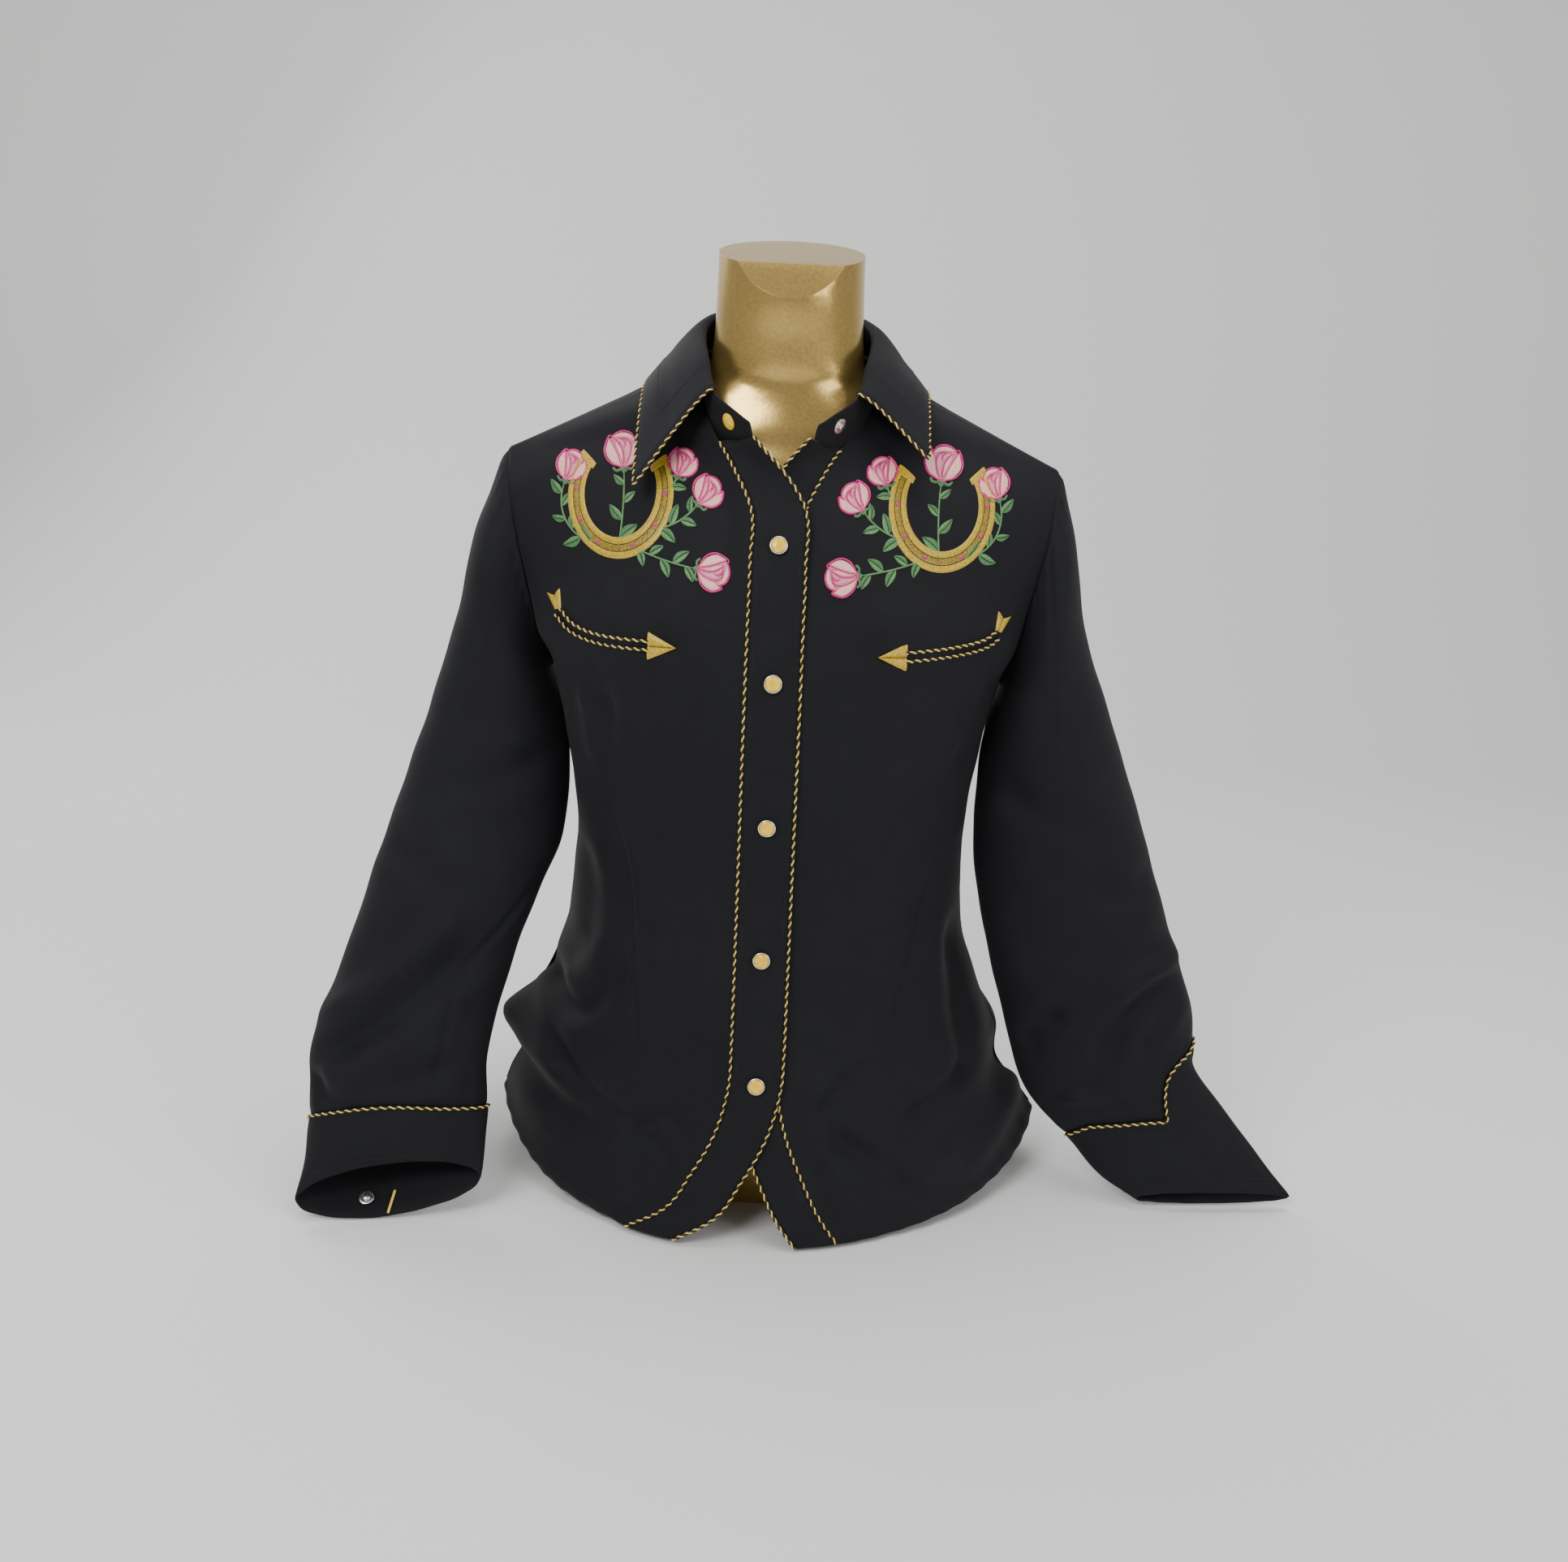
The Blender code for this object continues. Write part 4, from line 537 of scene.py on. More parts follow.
def crease_depth(line, width, depth, x, z):
    """A trough or ridge along a polyline, rounded at its bends and fading at its ends."""
    points = np.asarray(line, float)
    for _ in range(3):
        cut = [points[:1]]
        cut += [np.stack([0.75 * a + 0.25 * b, 0.25 * a + 0.75 * b]) for a, b in zip(points, points[1:])]
        points = np.concatenate(cut + [points[-1:]])
    steps = np.linalg.norm(np.diff(points, axis=0), axis=1)
    along = np.concatenate([[0], np.cumsum(steps)]) / steps.sum()
    best = np.full(np.shape(x), 9.0)
    place = np.zeros(np.shape(x))
    for k, (start, stop) in enumerate(zip(points, points[1:])):
        run = stop - start
        t = np.clip(((x - start[0]) * run[0] + (z - start[1]) * run[1]) / max(run @ run, 1e-12), 0, 1)
        away = np.hypot(x - start[0] - t * run[0], z - start[1] - t * run[1])
        near = away < best
        best = np.where(near, away, best)
        place = np.where(near, along[k] + t * (along[k + 1] - along[k]), place)
    fade = soft_step(place / 0.3 + 0.15) * soft_step((1 - place) / 0.3 + 0.15)
    swell = 1 + 0.25 * np.sin(7.0 * place + 40 * width)
    shape = np.exp(-(best / width)**2) - 0.32 * np.exp(-((best - 2 * width) / width)**2)
    return depth * fade * swell * shape


def waviness(x, y, z):
    """Slow unevenness that any worn cloth has."""
    return 0.00055 * (np.sin(61 * x + 23 * z + 1.3) * np.sin(47 * z - 31 * y + 0.4)
                      + 0.6 * np.sin(113 * z + 71 * x + 2.1) * np.sin(89 * x - 37 * z))


def front_rise(a, v):
    """How far the over front rises to meet its placket."""
    from_band = np.maximum(a - HALF_BAND, 0)
    return (smooth(BAND_ROWS, v)[..., 2] - 0.0005) * soft_step(1 - from_band / 0.022)


def hem_ripple(a, v, pitch):
    """Small waves that the hem's stitching draws into the cloth."""
    return 0.0005 * np.sin(a * 2 * math.pi / pitch) * np.exp(-(v - HEM_V) * 0.6 / 0.010)


def front_relief(side, a, v, points):
    x, z = points[..., 0] * side, points[..., 2]
    depth = waviness(points[..., 0], points[..., 1], z) * soft_step((0.47 - z) / 0.05)
    for crease_side, line, width, height in FRONT_CREASES:
        if crease_side == side:
            depth = depth + crease_depth(line, width, height, x, z)
    half = HALF[side]
    from_band = np.maximum(a - half, 0)
    depth = depth * soft_step(from_band / 0.020)
    pucker = np.sin(z * 2 * math.pi / 0.0125 + 1.7 * np.sin(z * 37)) * np.exp(-from_band / 0.008)
    depth = depth + 0.00035 * pucker * soft_step(from_band / 0.004)
    depth = depth + hem_ripple(a, v, 0.021) * soft_step(from_band / 0.01)
    if side < 0:
        depth = depth + front_rise(a, v)
    edge = torso_length(side, -1, v[:, 0])[:, None] - a if v.ndim == 2 else 1.0
    return depth - 0.0007 * np.exp(-(np.maximum(edge, 0) / 0.0022)**2)


def back_relief(side, a, v, points):
    x, z = points[..., 0] * side, points[..., 2]
    depth = waviness(points[..., 0] + 0.3, points[..., 1], z)
    for crease_side, line, width, height in BACK_CREASES:
        depth = depth + crease_depth(line, width, height, x * side * crease_side, z)
    depth = depth + hem_ripple(a, v, 0.023)
    edge = torso_length(side, 1, v[:, 0])[:, None] - a if v.ndim == 2 else 1.0
    fade = soft_step(np.asarray(edge) / 0.02) * soft_step((0.935 - v) / 0.06)
    return depth * fade - 0.0007 * np.exp(-(np.maximum(edge, 0) / 0.0022)**2)


def sleeve_relief(side, turn, s, points):
    x, z = points[..., 0] * side, points[..., 2]
    facing = np.sin(2 * math.pi * turn)
    depth = waviness(points[..., 0], points[..., 1] + 0.2, z)
    for crease_side, half, line, width, height in SLEEVE_CREASES:
        if crease_side == side:
            depth = depth + crease_depth(line, width, height, x, z) * soft_step(facing * half * 2.2 + 0.1)
    depth = depth + 0.0006 * np.sin(turn * 2 * math.pi * 24 + 2 * np.sin(turn * 19)) * np.exp(-s / 0.022)
    cuff = cuff_edge(side, turn) - s
    gather = np.sin(turn * 2 * math.pi * 17 + 1.5 * np.sin(turn * 13)) * np.exp(-np.maximum(cuff, 0) / 0.03)
    depth = depth + 0.0007 * gather
    fade = soft_step(s / 0.02) * soft_step(cuff / 0.02)
    return depth * fade - 0.0006 * np.exp(-(s / 0.006)**2)


# ---- meshes ---------------------------------------------------------------------------------
def grid_normals(points, closed):
    """Normals of a grid of points (rows, columns, 3)."""
    wide = np.concatenate([points[:, -1:], points, points[:, :1]], 1) if closed else points
    across = np.gradient(wide, axis=1)
    across = across[:, 1:-1] if closed else across
    normal = np.cross(across, np.gradient(points, axis=0))
    return unit(normal)


def new_object(name, verts, faces, slot, uvs=None):
    data = bpy.data.meshes.new(name)
    data.from_pydata(verts, [], faces)
    data.materials.append(slot)
    if uvs is not None:
        layer = data.uv_layers.new(name="cloth")
        index = np.empty(len(data.loops), dtype=np.int32)
        data.loops.foreach_get("vertex_index", index)
        layer.data.foreach_set("uv", np.asarray(uvs, np.float32)[index].ravel())
    data.shade_smooth()
    made = bpy.data.objects.new(name, data)
    bpy.context.scene.collection.objects.link(made)
    return made


def settle(piece, slot, *replaced):
    """Hides the CAD nodes that a piece stands in for and attaches the piece to the root body; slot is not
    used.
    """
    if replaced:
        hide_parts(*replaced)
    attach(piece, "root")


def quads(rows, columns, closed):
    i, j = np.meshgrid(np.arange(rows - 1), np.arange(columns if closed else columns - 1), indexing="ij")
    k = (j + 1) % columns
    corners = [i * columns + j, i * columns + k, (i + 1) * columns + k, (i + 1) * columns + j]
    return np.stack(corners, -1).reshape(-1, 4)


def shell(name, points, outward, wall, slot, closed=False):
    """A closed cloth shell: the grid is its inner face, and its outer face lies a wall away."""
    rows, columns = points.shape[:2]
    count = rows * columns
    round_rows = np.ones(rows)
    round_rows[[0, -1]] = 0.55
    round_columns = np.ones(columns)
    if not closed:
        round_columns[[0, -1]] = 0.55
    inner = points + outward * wall * 0.5 * (1 - round_rows[:, None, None] * round_columns[None, :, None])
    outer = points + outward * wall * (0.5 + 0.5 * round_rows[:, None, None] * round_columns[None, :, None])
    normal = grid_normals(points, closed)
    same = np.sum(normal * outward) > 0
    cells = quads(rows, columns, closed)
    out_cells = cells + count if same else cells[:, ::-1] + count
    in_cells = cells[:, ::-1] if same else cells
    rims = [np.arange(columns), (rows - 1) * columns + np.arange(columns)]
    rim_cells = []
    for k, rim in enumerate(rims):
        start, stop = (rim, np.roll(rim, -1)) if closed else (rim[:-1], rim[1:])
        cell = np.stack([start, stop, stop + count, start + count], -1)
        rim_cells.append(cell if (k == 0) == same else cell[:, ::-1])
    if not closed:
        for k, rim in enumerate((np.arange(rows) * columns, np.arange(rows) * columns + columns - 1)):
            cell = np.stack([rim[:-1], rim[1:], rim[1:] + count, rim[:-1] + count], -1)
            rim_cells.append(cell if (k == 1) == same else cell[:, ::-1])
    faces = np.concatenate([in_cells, out_cells] + rim_cells)
    steps = np.linalg.norm(np.diff(points, axis=1, prepend=points[:, :1]), axis=-1)
    u = np.cumsum(steps, 1)
    rises = np.linalg.norm(np.diff(points, axis=0, prepend=points[:1]), axis=-1)
    v = np.cumsum(rises, 0)
    uv = np.stack([u, v], -1).reshape(-1, 2)
    verts = np.concatenate([inner.reshape(-1, 3), outer.reshape(-1, 3)])
    return new_object(name, verts.tolist(), faces.tolist(), slot, np.concatenate([uv, uv]))


def sweep(points, radius, sides):
    """Vertices and faces of a closed tube along points."""
    tangent = np.gradient(points, axis=0)
    tangent = unit(tangent)
    guide = np.array([0.31, 0.57, 0.76])
    first = np.cross(tangent, guide)
    first = unit(first)
    second = np.cross(tangent, first)
    angle = 2 * np.pi * np.arange(sides) / sides
    radius = np.broadcast_to(radius, (len(points),))
    ring = first[:, None] * np.cos(angle)[None, :, None] + second[:, None] * np.sin(angle)[None, :, None]
    verts = (points[:, None] + ring * radius[:, None, None]).reshape(-1, 3)
    faces = quads(len(points), sides, True).tolist()
    faces.append(list(range(sides))[::-1])
    faces.append([(len(points) - 1) * sides + k for k in range(sides)])
    return verts, faces


def resample(points, step):
    """The same line with even steps."""
    steps = np.linalg.norm(np.diff(points, axis=0), axis=1)
    along = np.concatenate([[0], np.cumsum(steps)])
    count = max(int(along[-1] / step), 3)
    at = np.linspace(0, along[-1], count)
    return np.stack([np.interp(at, along, points[:, k]) for k in range(3)], -1)


TWIST = 0.0066          # length of one full turn of the piping's two strands
STRAND = 0.00062        # radius of one strand


def twisted_cord(name, line, node):
    """Two strands, one yellow and one black, twisted round each other along the line."""
    centre = resample(line, 0.0008)
    tangent = np.gradient(centre, axis=0)
    tangent = unit(tangent)
    first = np.zeros_like(tangent)
    axis = np.cross(tangent[0], [0.2, 0.3, 0.9])
    for k, direction in enumerate(tangent):
        axis = axis - direction * (axis @ direction)
        axis = axis / np.linalg.norm(axis)
        first[k] = axis
    second = np.cross(tangent, first)
    steps = np.linalg.norm(np.diff(centre, axis=0), axis=1)
    turn = 2 * np.pi * np.concatenate([[0], np.cumsum(steps)]) / TWIST
    made = []
    for tag, phase, slot, size in (("yellow", 0.0, YELLOW, 0.92), ("black", math.pi, CORD_BLACK, 1.12)):
        offset = first * np.cos(turn + phase)[:, None] + second * np.sin(turn + phase)[:, None]
        verts, faces = sweep(centre + offset * STRAND, STRAND * size, 6)
        made.append(new_object(f"{name}_{tag}", verts.tolist(), faces, slot))
    settle(made[0], "piping", node)
    settle(made[1], "piping")
    return made


def stitch_line(parts, points, normals, stitch=0.0024, pitch=0.0031, radius=0.00020):
    """Adds a row of small thread stitches along a line on a surface."""
    steps = np.linalg.norm(np.diff(points, axis=0), axis=1)
    along = np.concatenate([[0], np.cumsum(steps)])
    count = int(along[-1] / pitch)
    shape = ((0.0, 0.35, -0.3), (0.2, 1.0, 0.4), (0.8, 1.0, 0.4), (1.0, 0.35, -0.3))
    for k in range(count):
        verts = []
        for t, width, lift in shape:
            at = k * pitch + t * stitch
            place = np.array([np.interp(at, along, points[:, c]) for c in range(3)])
            normal = np.array([np.interp(at, along, normals[:, c]) for c in range(3)])
            ahead = np.array([np.interp(at + 0.0003, along, points[:, c]) for c in range(3)]) - place
            aside = np.cross(ahead, normal)
            aside /= max(np.linalg.norm(aside), 1e-9)
            for c, s in ((1, 0), (0.3, 0.95), (-0.3, 0.95), (-1, 0), (0, -0.9)):
                verts.append(place + (aside * c + normal * s) * radius * width + normal * lift * radius)
        parts.append((np.array(verts), 4, 5))


def stitch_object(name, parts, slot_material):
    verts, faces, start = [], [], 0
    for block, rows, columns in parts:
        verts.append(block)
        faces += (quads(rows, columns, True) + start).tolist()
        faces.append([start + k for k in range(columns)][::-1])
        faces.append([start + (rows - 1) * columns + k for k in range(columns)])
        start += len(block)
    made = new_object(name, np.concatenate(verts).tolist(), faces, slot_material)
    settle(made, "black_twill")


# ---- embroidery: shapes drawn in millimetres in front view, sewn as satin stitches -----------
STITCH = 0.55           # pitch of the satin stitches in millimetres


def bend(points, count=24):
    """A smooth line through a few (x, z) points."""
    table = [(k / (len(points) - 1), *p) for k, p in enumerate(points)]
    return smooth(table, np.linspace(0, 1, count))


def satin(store, colour, first, second, crown=0.55, slope=0.0):
    """Stitches laid from one edge line to the other, pitch by pitch, crowned in the middle."""
    first, second = np.asarray(first, float), np.asarray(second, float)
    middle = (first + second) / 2
    length = np.sum(np.linalg.norm(np.diff(middle, axis=0), axis=1))
    count = max(int(length / STITCH) * 2 + 1, 5)
    along = np.linspace(0, 1, count)
    keys = np.linspace(0, 1, len(first))

    def at(line, shift):
        where = np.clip(along + shift, 0, 1)
        return np.stack([np.interp(where, keys, line[:, k]) for k in range(2)], -1)

    one, two = at(first, -slope), at(second, slope)
    across = np.array([0.0, 0.18, 0.5, 0.82, 1.0])
    height = np.array([-0.3, 0.72, 1.0, 0.72, -0.3]) * crown
    ridge = np.where(np.arange(count) % 2 == 0, 0.07, -0.07)
    points = one[:, None] * (1 - across[None, :, None]) + two[:, None] * across[None, :, None]
    lift = height[None, :] + ridge[:, None] * np.array([0.3, 1, 1, 1, 0.3])[None, :]
    lift[0], lift[-1] = lift[0] - 0.3, lift[-1] - 0.3
    store.setdefault(colour, []).append(np.concatenate([points, lift[..., None]], -1))


def strand(store, colour, line, width=1.1, crown=0.6):
    """A narrow satin line along (x, z) points."""
    line = np.asarray(line, float)
    step = np.gradient(line, axis=0)
    normal = np.stack([-step[:, 1], step[:, 0]], -1)
    normal = unit(normal)
    grow = np.linspace(0.35, 6, len(line))
    taper = np.minimum(1, np.minimum(grow, np.linspace(6, 0.35, len(line))))[:, None]
    satin(store, colour, line - normal * width / 2 * taper, line + normal * width / 2 * taper, crown)


# A rose seen from the side, one unit from its foot at (0, -1) to its top: petals as two edges.
ROSE_PETALS = (
    ("pink_deep", ((-0.62, -0.62), (-0.98, 0.00), (-0.70, 0.74), (0.45, 0.98)),
     ((0.00, -0.92), (0.92, -0.42), (1.02, 0.44), (0.45, 0.98)), 0.35),
    ("pink_light", ((-0.14, -0.94), (-0.74, -0.56), (-1.02, 0.06), (-0.78, 0.66)),
     ((-0.14, -0.94), (-0.30, -0.40), (-0.44, 0.14), (-0.78, 0.66)), 0.80),
    ("pink_light", ((0.10, -0.94), (0.74, -0.58), (1.04, 0.04), (0.80, 0.76)),
     ((0.10, -0.94), (0.16, -0.36), (0.42, 0.22), (0.80, 0.76)), 0.85),
    ("pink_light", ((-0.66, 0.42), (-0.40, 0.86), (0.10, 1.02), (0.62, 0.80)),
     ((-0.66, 0.42), (-0.30, 0.60), (0.08, 0.70), (0.62, 0.80)), 0.75),
    ("pink_mid", ((-0.16, -0.80), (-0.36, -0.26), (-0.42, 0.16), (-0.28, 0.52)),
     ((-0.16, -0.80), (-0.02, -0.34), (-0.02, 0.10), (-0.28, 0.52)), 0.85),
    ("pink_light", ((0.02, -0.78), (0.20, -0.30), (0.40, 0.12), (0.46, 0.62)),
     ((0.02, -0.78), (0.04, -0.28), (0.12, 0.10), (0.46, 0.62)), 0.90),
    ("pink_mid", ((-0.10, 0.14), (-0.04, 0.44), (0.16, 0.62), (0.40, 0.62)),
     ((-0.10, 0.14), (0.10, 0.22), (0.26, 0.40), (0.40, 0.62)), 1.00),
    ("magenta", ((-0.40, -0.80), (-0.14, -1.02), (0.14, -1.02), (0.40, -0.80)),
     ((-0.40, -0.80), (-0.14, -0.86), (0.14, -0.86), (0.40, -0.80)), 0.90),
)
ROSE_LINES = (
    ((-0.14, -0.96), (-0.80, -0.58), (-1.06, 0.06), (-0.80, 0.72), (-0.62, 0.42)),
    ((0.10, -0.96), (0.80, -0.60), (1.08, 0.04), (0.82, 0.82), (0.56, 0.78)),
    ((-0.68, 0.42), (-0.42, 0.92), (0.10, 1.06), (0.64, 0.84)),
    ((-0.18, -0.82), (-0.38, -0.26), (-0.42, 0.20), (-0.26, 0.54), (0.06, 0.68)),
    ((0.02, -0.78), (0.00, -0.26), (0.12, 0.16), (0.48, 0.64)),
    ((-0.10, 0.12), (-0.06, 0.46), (0.18, 0.64), (0.32, 0.54), (0.22, 0.38), (0.10, 0.44)),
    ((0.14, -0.90), (0.28, -0.36), (0.52, 0.20), (0.82, 0.76)),
)
ROSE_SEPALS = (
    ((-0.06, -1.00), (-0.44, -1.06), (-0.64, -0.84)),
    ((0.00, -0.96), (0.02, -1.12), (0.00, -1.30)),
    ((0.06, -1.00), (0.40, -1.10), (0.62, -0.90)),
    ((-0.16, -1.08), (-0.02, -1.16), (0.16, -1.08)),
)


def rose(store, foot, top, half_width):
    foot, top = np.array(foot), np.array(top)
    up = (top - foot) / 2
    aside = np.array([up[1], -up[0]]) / np.linalg.norm(up) * half_width
    centre = (top + foot) / 2

    def at(points, count=24):
        line = bend(points, count)
        return centre + line[:, :1] * aside + line[:, 1:] * up

    for colour, first, second, crown in ROSE_PETALS:
        satin(store, colour, at(first), at(second), crown)
    for line in ROSE_LINES:
        strand(store, "magenta", at(line, 30), 1.15, 1.20)
    for line in ROSE_SEPALS:
        strand(store, "leaf_dark", at(line), 2.1, 0.9)


def leaf(store, base, heading, length, width=0.24):
    """A pointed leaf of two halves; its heading is in degrees from outward, turning upward."""
    turn = math.radians(heading)
    up = np.array([math.cos(turn), math.sin(turn)]) * length
    aside = np.array([up[1], -up[0]])
    t = np.linspace(0, 1, 14)[:, None]
    spine = np.array(base) + up * t + aside * 0.06 * np.sin(np.pi * t)
    belly = width * np.sin(np.pi * t**0.85) ** 0.85
    for sign, colour in ((-1, "leaf_light"), (1, "leaf_dark")):
        edge = spine + aside * sign * belly - up * 0.03 * belly
        satin(store, colour, spine, edge, 0.5, -0.04)
    strand(store, "leaf_vein", spine[1:-1], 0.40, 0.75)


# The yoke's motif is this script's own composition: an upright shoe, with vines from its toe.
SHOE_CENTRE = (114.0, 530.0)
SHOE_RADII, SHOE_WIDTH = (33.0, 37.0), 13.0
SHOE_ARC = (150.0, 390.0)       # degrees from outward, round by the toe at 270
LEAF_LENGTH, LEAF_SPREAD = 14.0, 48.0
NAIL = 1.6                      # radius of a nail head
# start angle on the shoe, start heading, length, turn along it, leaves, half height of its rose
VINES = (
    (266.0, 96.0, 52.0, -14.0, 4, 12.5),
    (292.0, -4.0, 58.0, 112.0, 6, 10.5),
    (250.0, 200.0, 48.0, -12.0, 5, 11.0),
    (218.0, 172.0, 36.0, -44.0, 4, 10.0),
    (176.0, 150.0, 12.0, -40.0, 1, 9.5),
)


def on_shoe(angle, across=0.0):
    """A point on the shoe: across runs from -0.5 on its inner edge to 0.5 on its outer edge."""
    turn = np.radians(angle)
    swell = SHOE_WIDTH * (1.0 - 0.14 * np.sin(turn))
    radii = np.array(SHOE_RADII) + (across * swell)[..., None]
    return np.array(SHOE_CENTRE) + radii * np.stack([np.cos(turn), np.sin(turn)], -1)


def horseshoe(store):
    """The gold shoe: a crease between two satin rails, square heels and pink nail heads."""
    angles = np.linspace(*SHOE_ARC, 80)
    rails = [on_shoe(angles, across) for across in (-0.5, -0.16, 0.16, 0.5)]
    for first, second, colour, crown in ((0, 1, "gold", 0.8), (1, 2, "gold_dark", 0.45), (2, 3, "gold", 0.8)):
        satin(store, colour, rails[first], rails[second], crown)
    for end, ahead in ((SHOE_ARC[0], -1), (SHOE_ARC[1], 1)):
        heel = np.array([end, end + ahead * 9.0])
        satin(store, "gold", on_shoe(heel, -0.68), on_shoe(heel, 0.68), 0.9)
    ring = np.linspace(-1, 1, 7)[:, None]
    rise = np.sqrt(1 - ring**2)
    for share in (0.12, 0.26, 0.40, 0.60, 0.74, 0.88):
        nail = on_shoe(np.array(SHOE_ARC[0] + share * (SHOE_ARC[1] - SHOE_ARC[0])))
        upper, lower = (nail + NAIL * np.hstack([ring, half]) for half in (rise, -rise))
        satin(store, "magenta", upper, lower, 1.5)


def vine(store, start, heading, length, turning, leaves, bloom):
    """A stem whose heading turns evenly, with leaves on alternate sides and a rose at its end."""
    t = np.linspace(0, 1, 60)
    headings = heading + turning * t
    steps = np.stack([np.cos(np.radians(headings)), np.sin(np.radians(headings))], -1) * length / len(t)
    line = start + np.cumsum(steps, 0)
    strand(store, "leaf_light", line, 1.25, 0.75)
    for k in range(leaves):
        at = int((k + 0.55) / (leaves + 0.35) * 59)
        size = LEAF_LENGTH * (1 - 0.18 * t[at]) * (1 + 0.14 * math.sin(5 * k + heading))
        leaf(store, line[at], headings[at] + LEAF_SPREAD * (-1)**k, size)
    ahead = steps[-1] / np.linalg.norm(steps[-1])
    foot = line[-1] + ahead * 1.5
    rose(store, foot, foot + ahead * 2 * bloom, bloom * 1.08)


def yoke_motif():
    store = {}
    horseshoe(store)
    for angle, *vine_shape in VINES:
        vine(store, on_shoe(np.array(angle)), *vine_shape)
    return store


def find_on_front(side, x, z):
    """The a and v whose front-view place is (outward x, z)."""
    a, v = x.copy(), np.interp(z, [row[3] for row in FRONT_ROWS], [row[0] for row in FRONT_ROWS])
    for _ in range(16):
        at = torso_point(side, -1, a, v)
        a = a + (x - side * at[:, 0]) * 0.8
        v = np.clip(v + (z - at[:, 2]) * 1.2, 0.002, 0.998)
    return a, v


def sew(store, side, tag, base_lift, slots):
    """Maps drawn stitches on to the front and makes one piece per colour."""
    made = []
    for colour, blocks in store.items():
        flat = np.concatenate([block.reshape(-1, 3) for block in blocks]) * MM
        a, v = find_on_front(side, flat[:, 0], flat[:, 1])
        base = torso_point(side, -1, a, v)
        away = lifted(side, -1, a, v, 0.001) - base
        lift = base_lift + flat[:, 2]
        if side < 0:
            lift = lift + front_rise(a, v)
        verts = base + away / 0.001 * lift[:, None]
        faces, start = [], 0
        for block in blocks:
            rows, columns = block.shape[:2]
            faces.append(quads(rows, columns, False) + start)
            start += rows * columns
        cells = np.concatenate(faces)
        corner = verts[cells]
        normal = np.cross(corner[:, 2] - corner[:, 0], corner[:, 3] - corner[:, 1])
        facing = np.sum(normal * away[cells[:, 0]], -1) < 0
        cells[facing] = cells[facing][:, ::-1]
        piece = new_object(f"{tag}_{colour}", verts.tolist(), cells.tolist(), slots[colour])
        settle(piece, "gold_thread")
        made.append(piece)
    return made


# ---- materials ------------------------------------------------------------------------------
def blank(name, colour, roughness, metallic=0.0):
    made = bpy.data.materials.new(name)
    made.use_nodes = True
    shader = made.node_tree.nodes["Principled BSDF"]
    shader.inputs["Base Color"].default_value = (*colour, 1.0)
    shader.inputs["Roughness"].default_value = roughness
    shader.inputs["Metallic"].default_value = metallic
    return made, made.node_tree.nodes, made.node_tree.links, shader


def node(nodes, kind, **values):
    made = nodes.new(kind)
    for key, value in values.items():
        if key in made.inputs:
            made.inputs[key].default_value = value
        else:
            setattr(made, key, value)
    return made


def texture(nodes, links, where, kind, **values):
    """A texture read at the coordinate where."""
    made = node(nodes, kind, **values)
    links.new(where, made.inputs["Vector"])
    return made


def noise(nodes, links, where, **values):
    return texture(nodes, links, where, "ShaderNodeTexNoise", **values).outputs["Fac"]


def ramp(nodes, links, source, *stops):
    """Colours read off a ramp by source; each of the two stops is a position and a colour."""
    made = nodes.new("ShaderNodeValToRGB")
    for k, (position, colour) in enumerate(stops):
        made.color_ramp.elements[k].position, made.color_ramp.elements[k].color = position, (*colour, 1)
    links.new(source, made.inputs["Fac"])
    return made.outputs["Color"]


def bump(nodes, links, source, strength, distance):
    made = node(nodes, "ShaderNodeBump", Strength=strength, Distance=distance)
    links.new(source, made.inputs["Height"])
    return made


def vary_roughness(nodes, links, source, low, high, shader):
    made = node(nodes, "ShaderNodeMapRange")
    made.inputs["To Min"].default_value, made.inputs["To Max"].default_value = low, high
    links.new(source, made.inputs["Value"])
    links.new(made.outputs["Result"], shader.inputs["Roughness"])


def twill(name, dark, pale, coordinate, sheen=0.10):
    """Cotton twill: fine diagonal ribs, faint slubs and lint, a soft sheen."""
    made, nodes, links, shader = blank(name, dark, 0.74)
    where = nodes.new("ShaderNodeTexCoord")
    scale = texture(nodes, links, where.outputs[coordinate], "ShaderNodeMapping",
                    Scale=(1000, 1000, 1000), Rotation=(0, 0, math.radians(52)))
    ribs = texture(nodes, links, scale.outputs["Vector"], "ShaderNodeTexWave",
                   Scale=0.40, Distortion=0.6, Detail=1.0)
    slub = noise(nodes, links, where.outputs["Object"], Scale=55.0, Detail=5.0, Roughness=0.6)
    worn = noise(nodes, links, where.outputs["Object"], Scale=9.0, Detail=2.0)
    share = node(nodes, "ShaderNodeMath", operation="MULTIPLY")
    links.new(slub, share.inputs[0])
    links.new(worn, share.inputs[1])
    rib_colour = node(nodes, "ShaderNodeMixRGB", blend_type="MULTIPLY", Fac=0.35)
    links.new(ramp(nodes, links, share.outputs[0], (0.10, dark), (0.45, pale)), rib_colour.inputs["Color1"])
    links.new(ribs.outputs["Color"], rib_colour.inputs["Color2"])
    links.new(rib_colour.outputs["Color"], shader.inputs["Base Color"])
    soft = bump(nodes, links, slub, 0.25, 0.0006)
    links.new(bump(nodes, links, ribs.outputs["Fac"], 0.35, 0.0002).outputs["Normal"], soft.inputs["Normal"])
    links.new(soft.outputs["Normal"], shader.inputs["Normal"])
    shader.inputs["Sheen Weight"].default_value = sheen
    shader.inputs["Sheen Roughness"].default_value = 0.5
    shader.inputs["Specular IOR Level"].default_value = 0.24
    return made


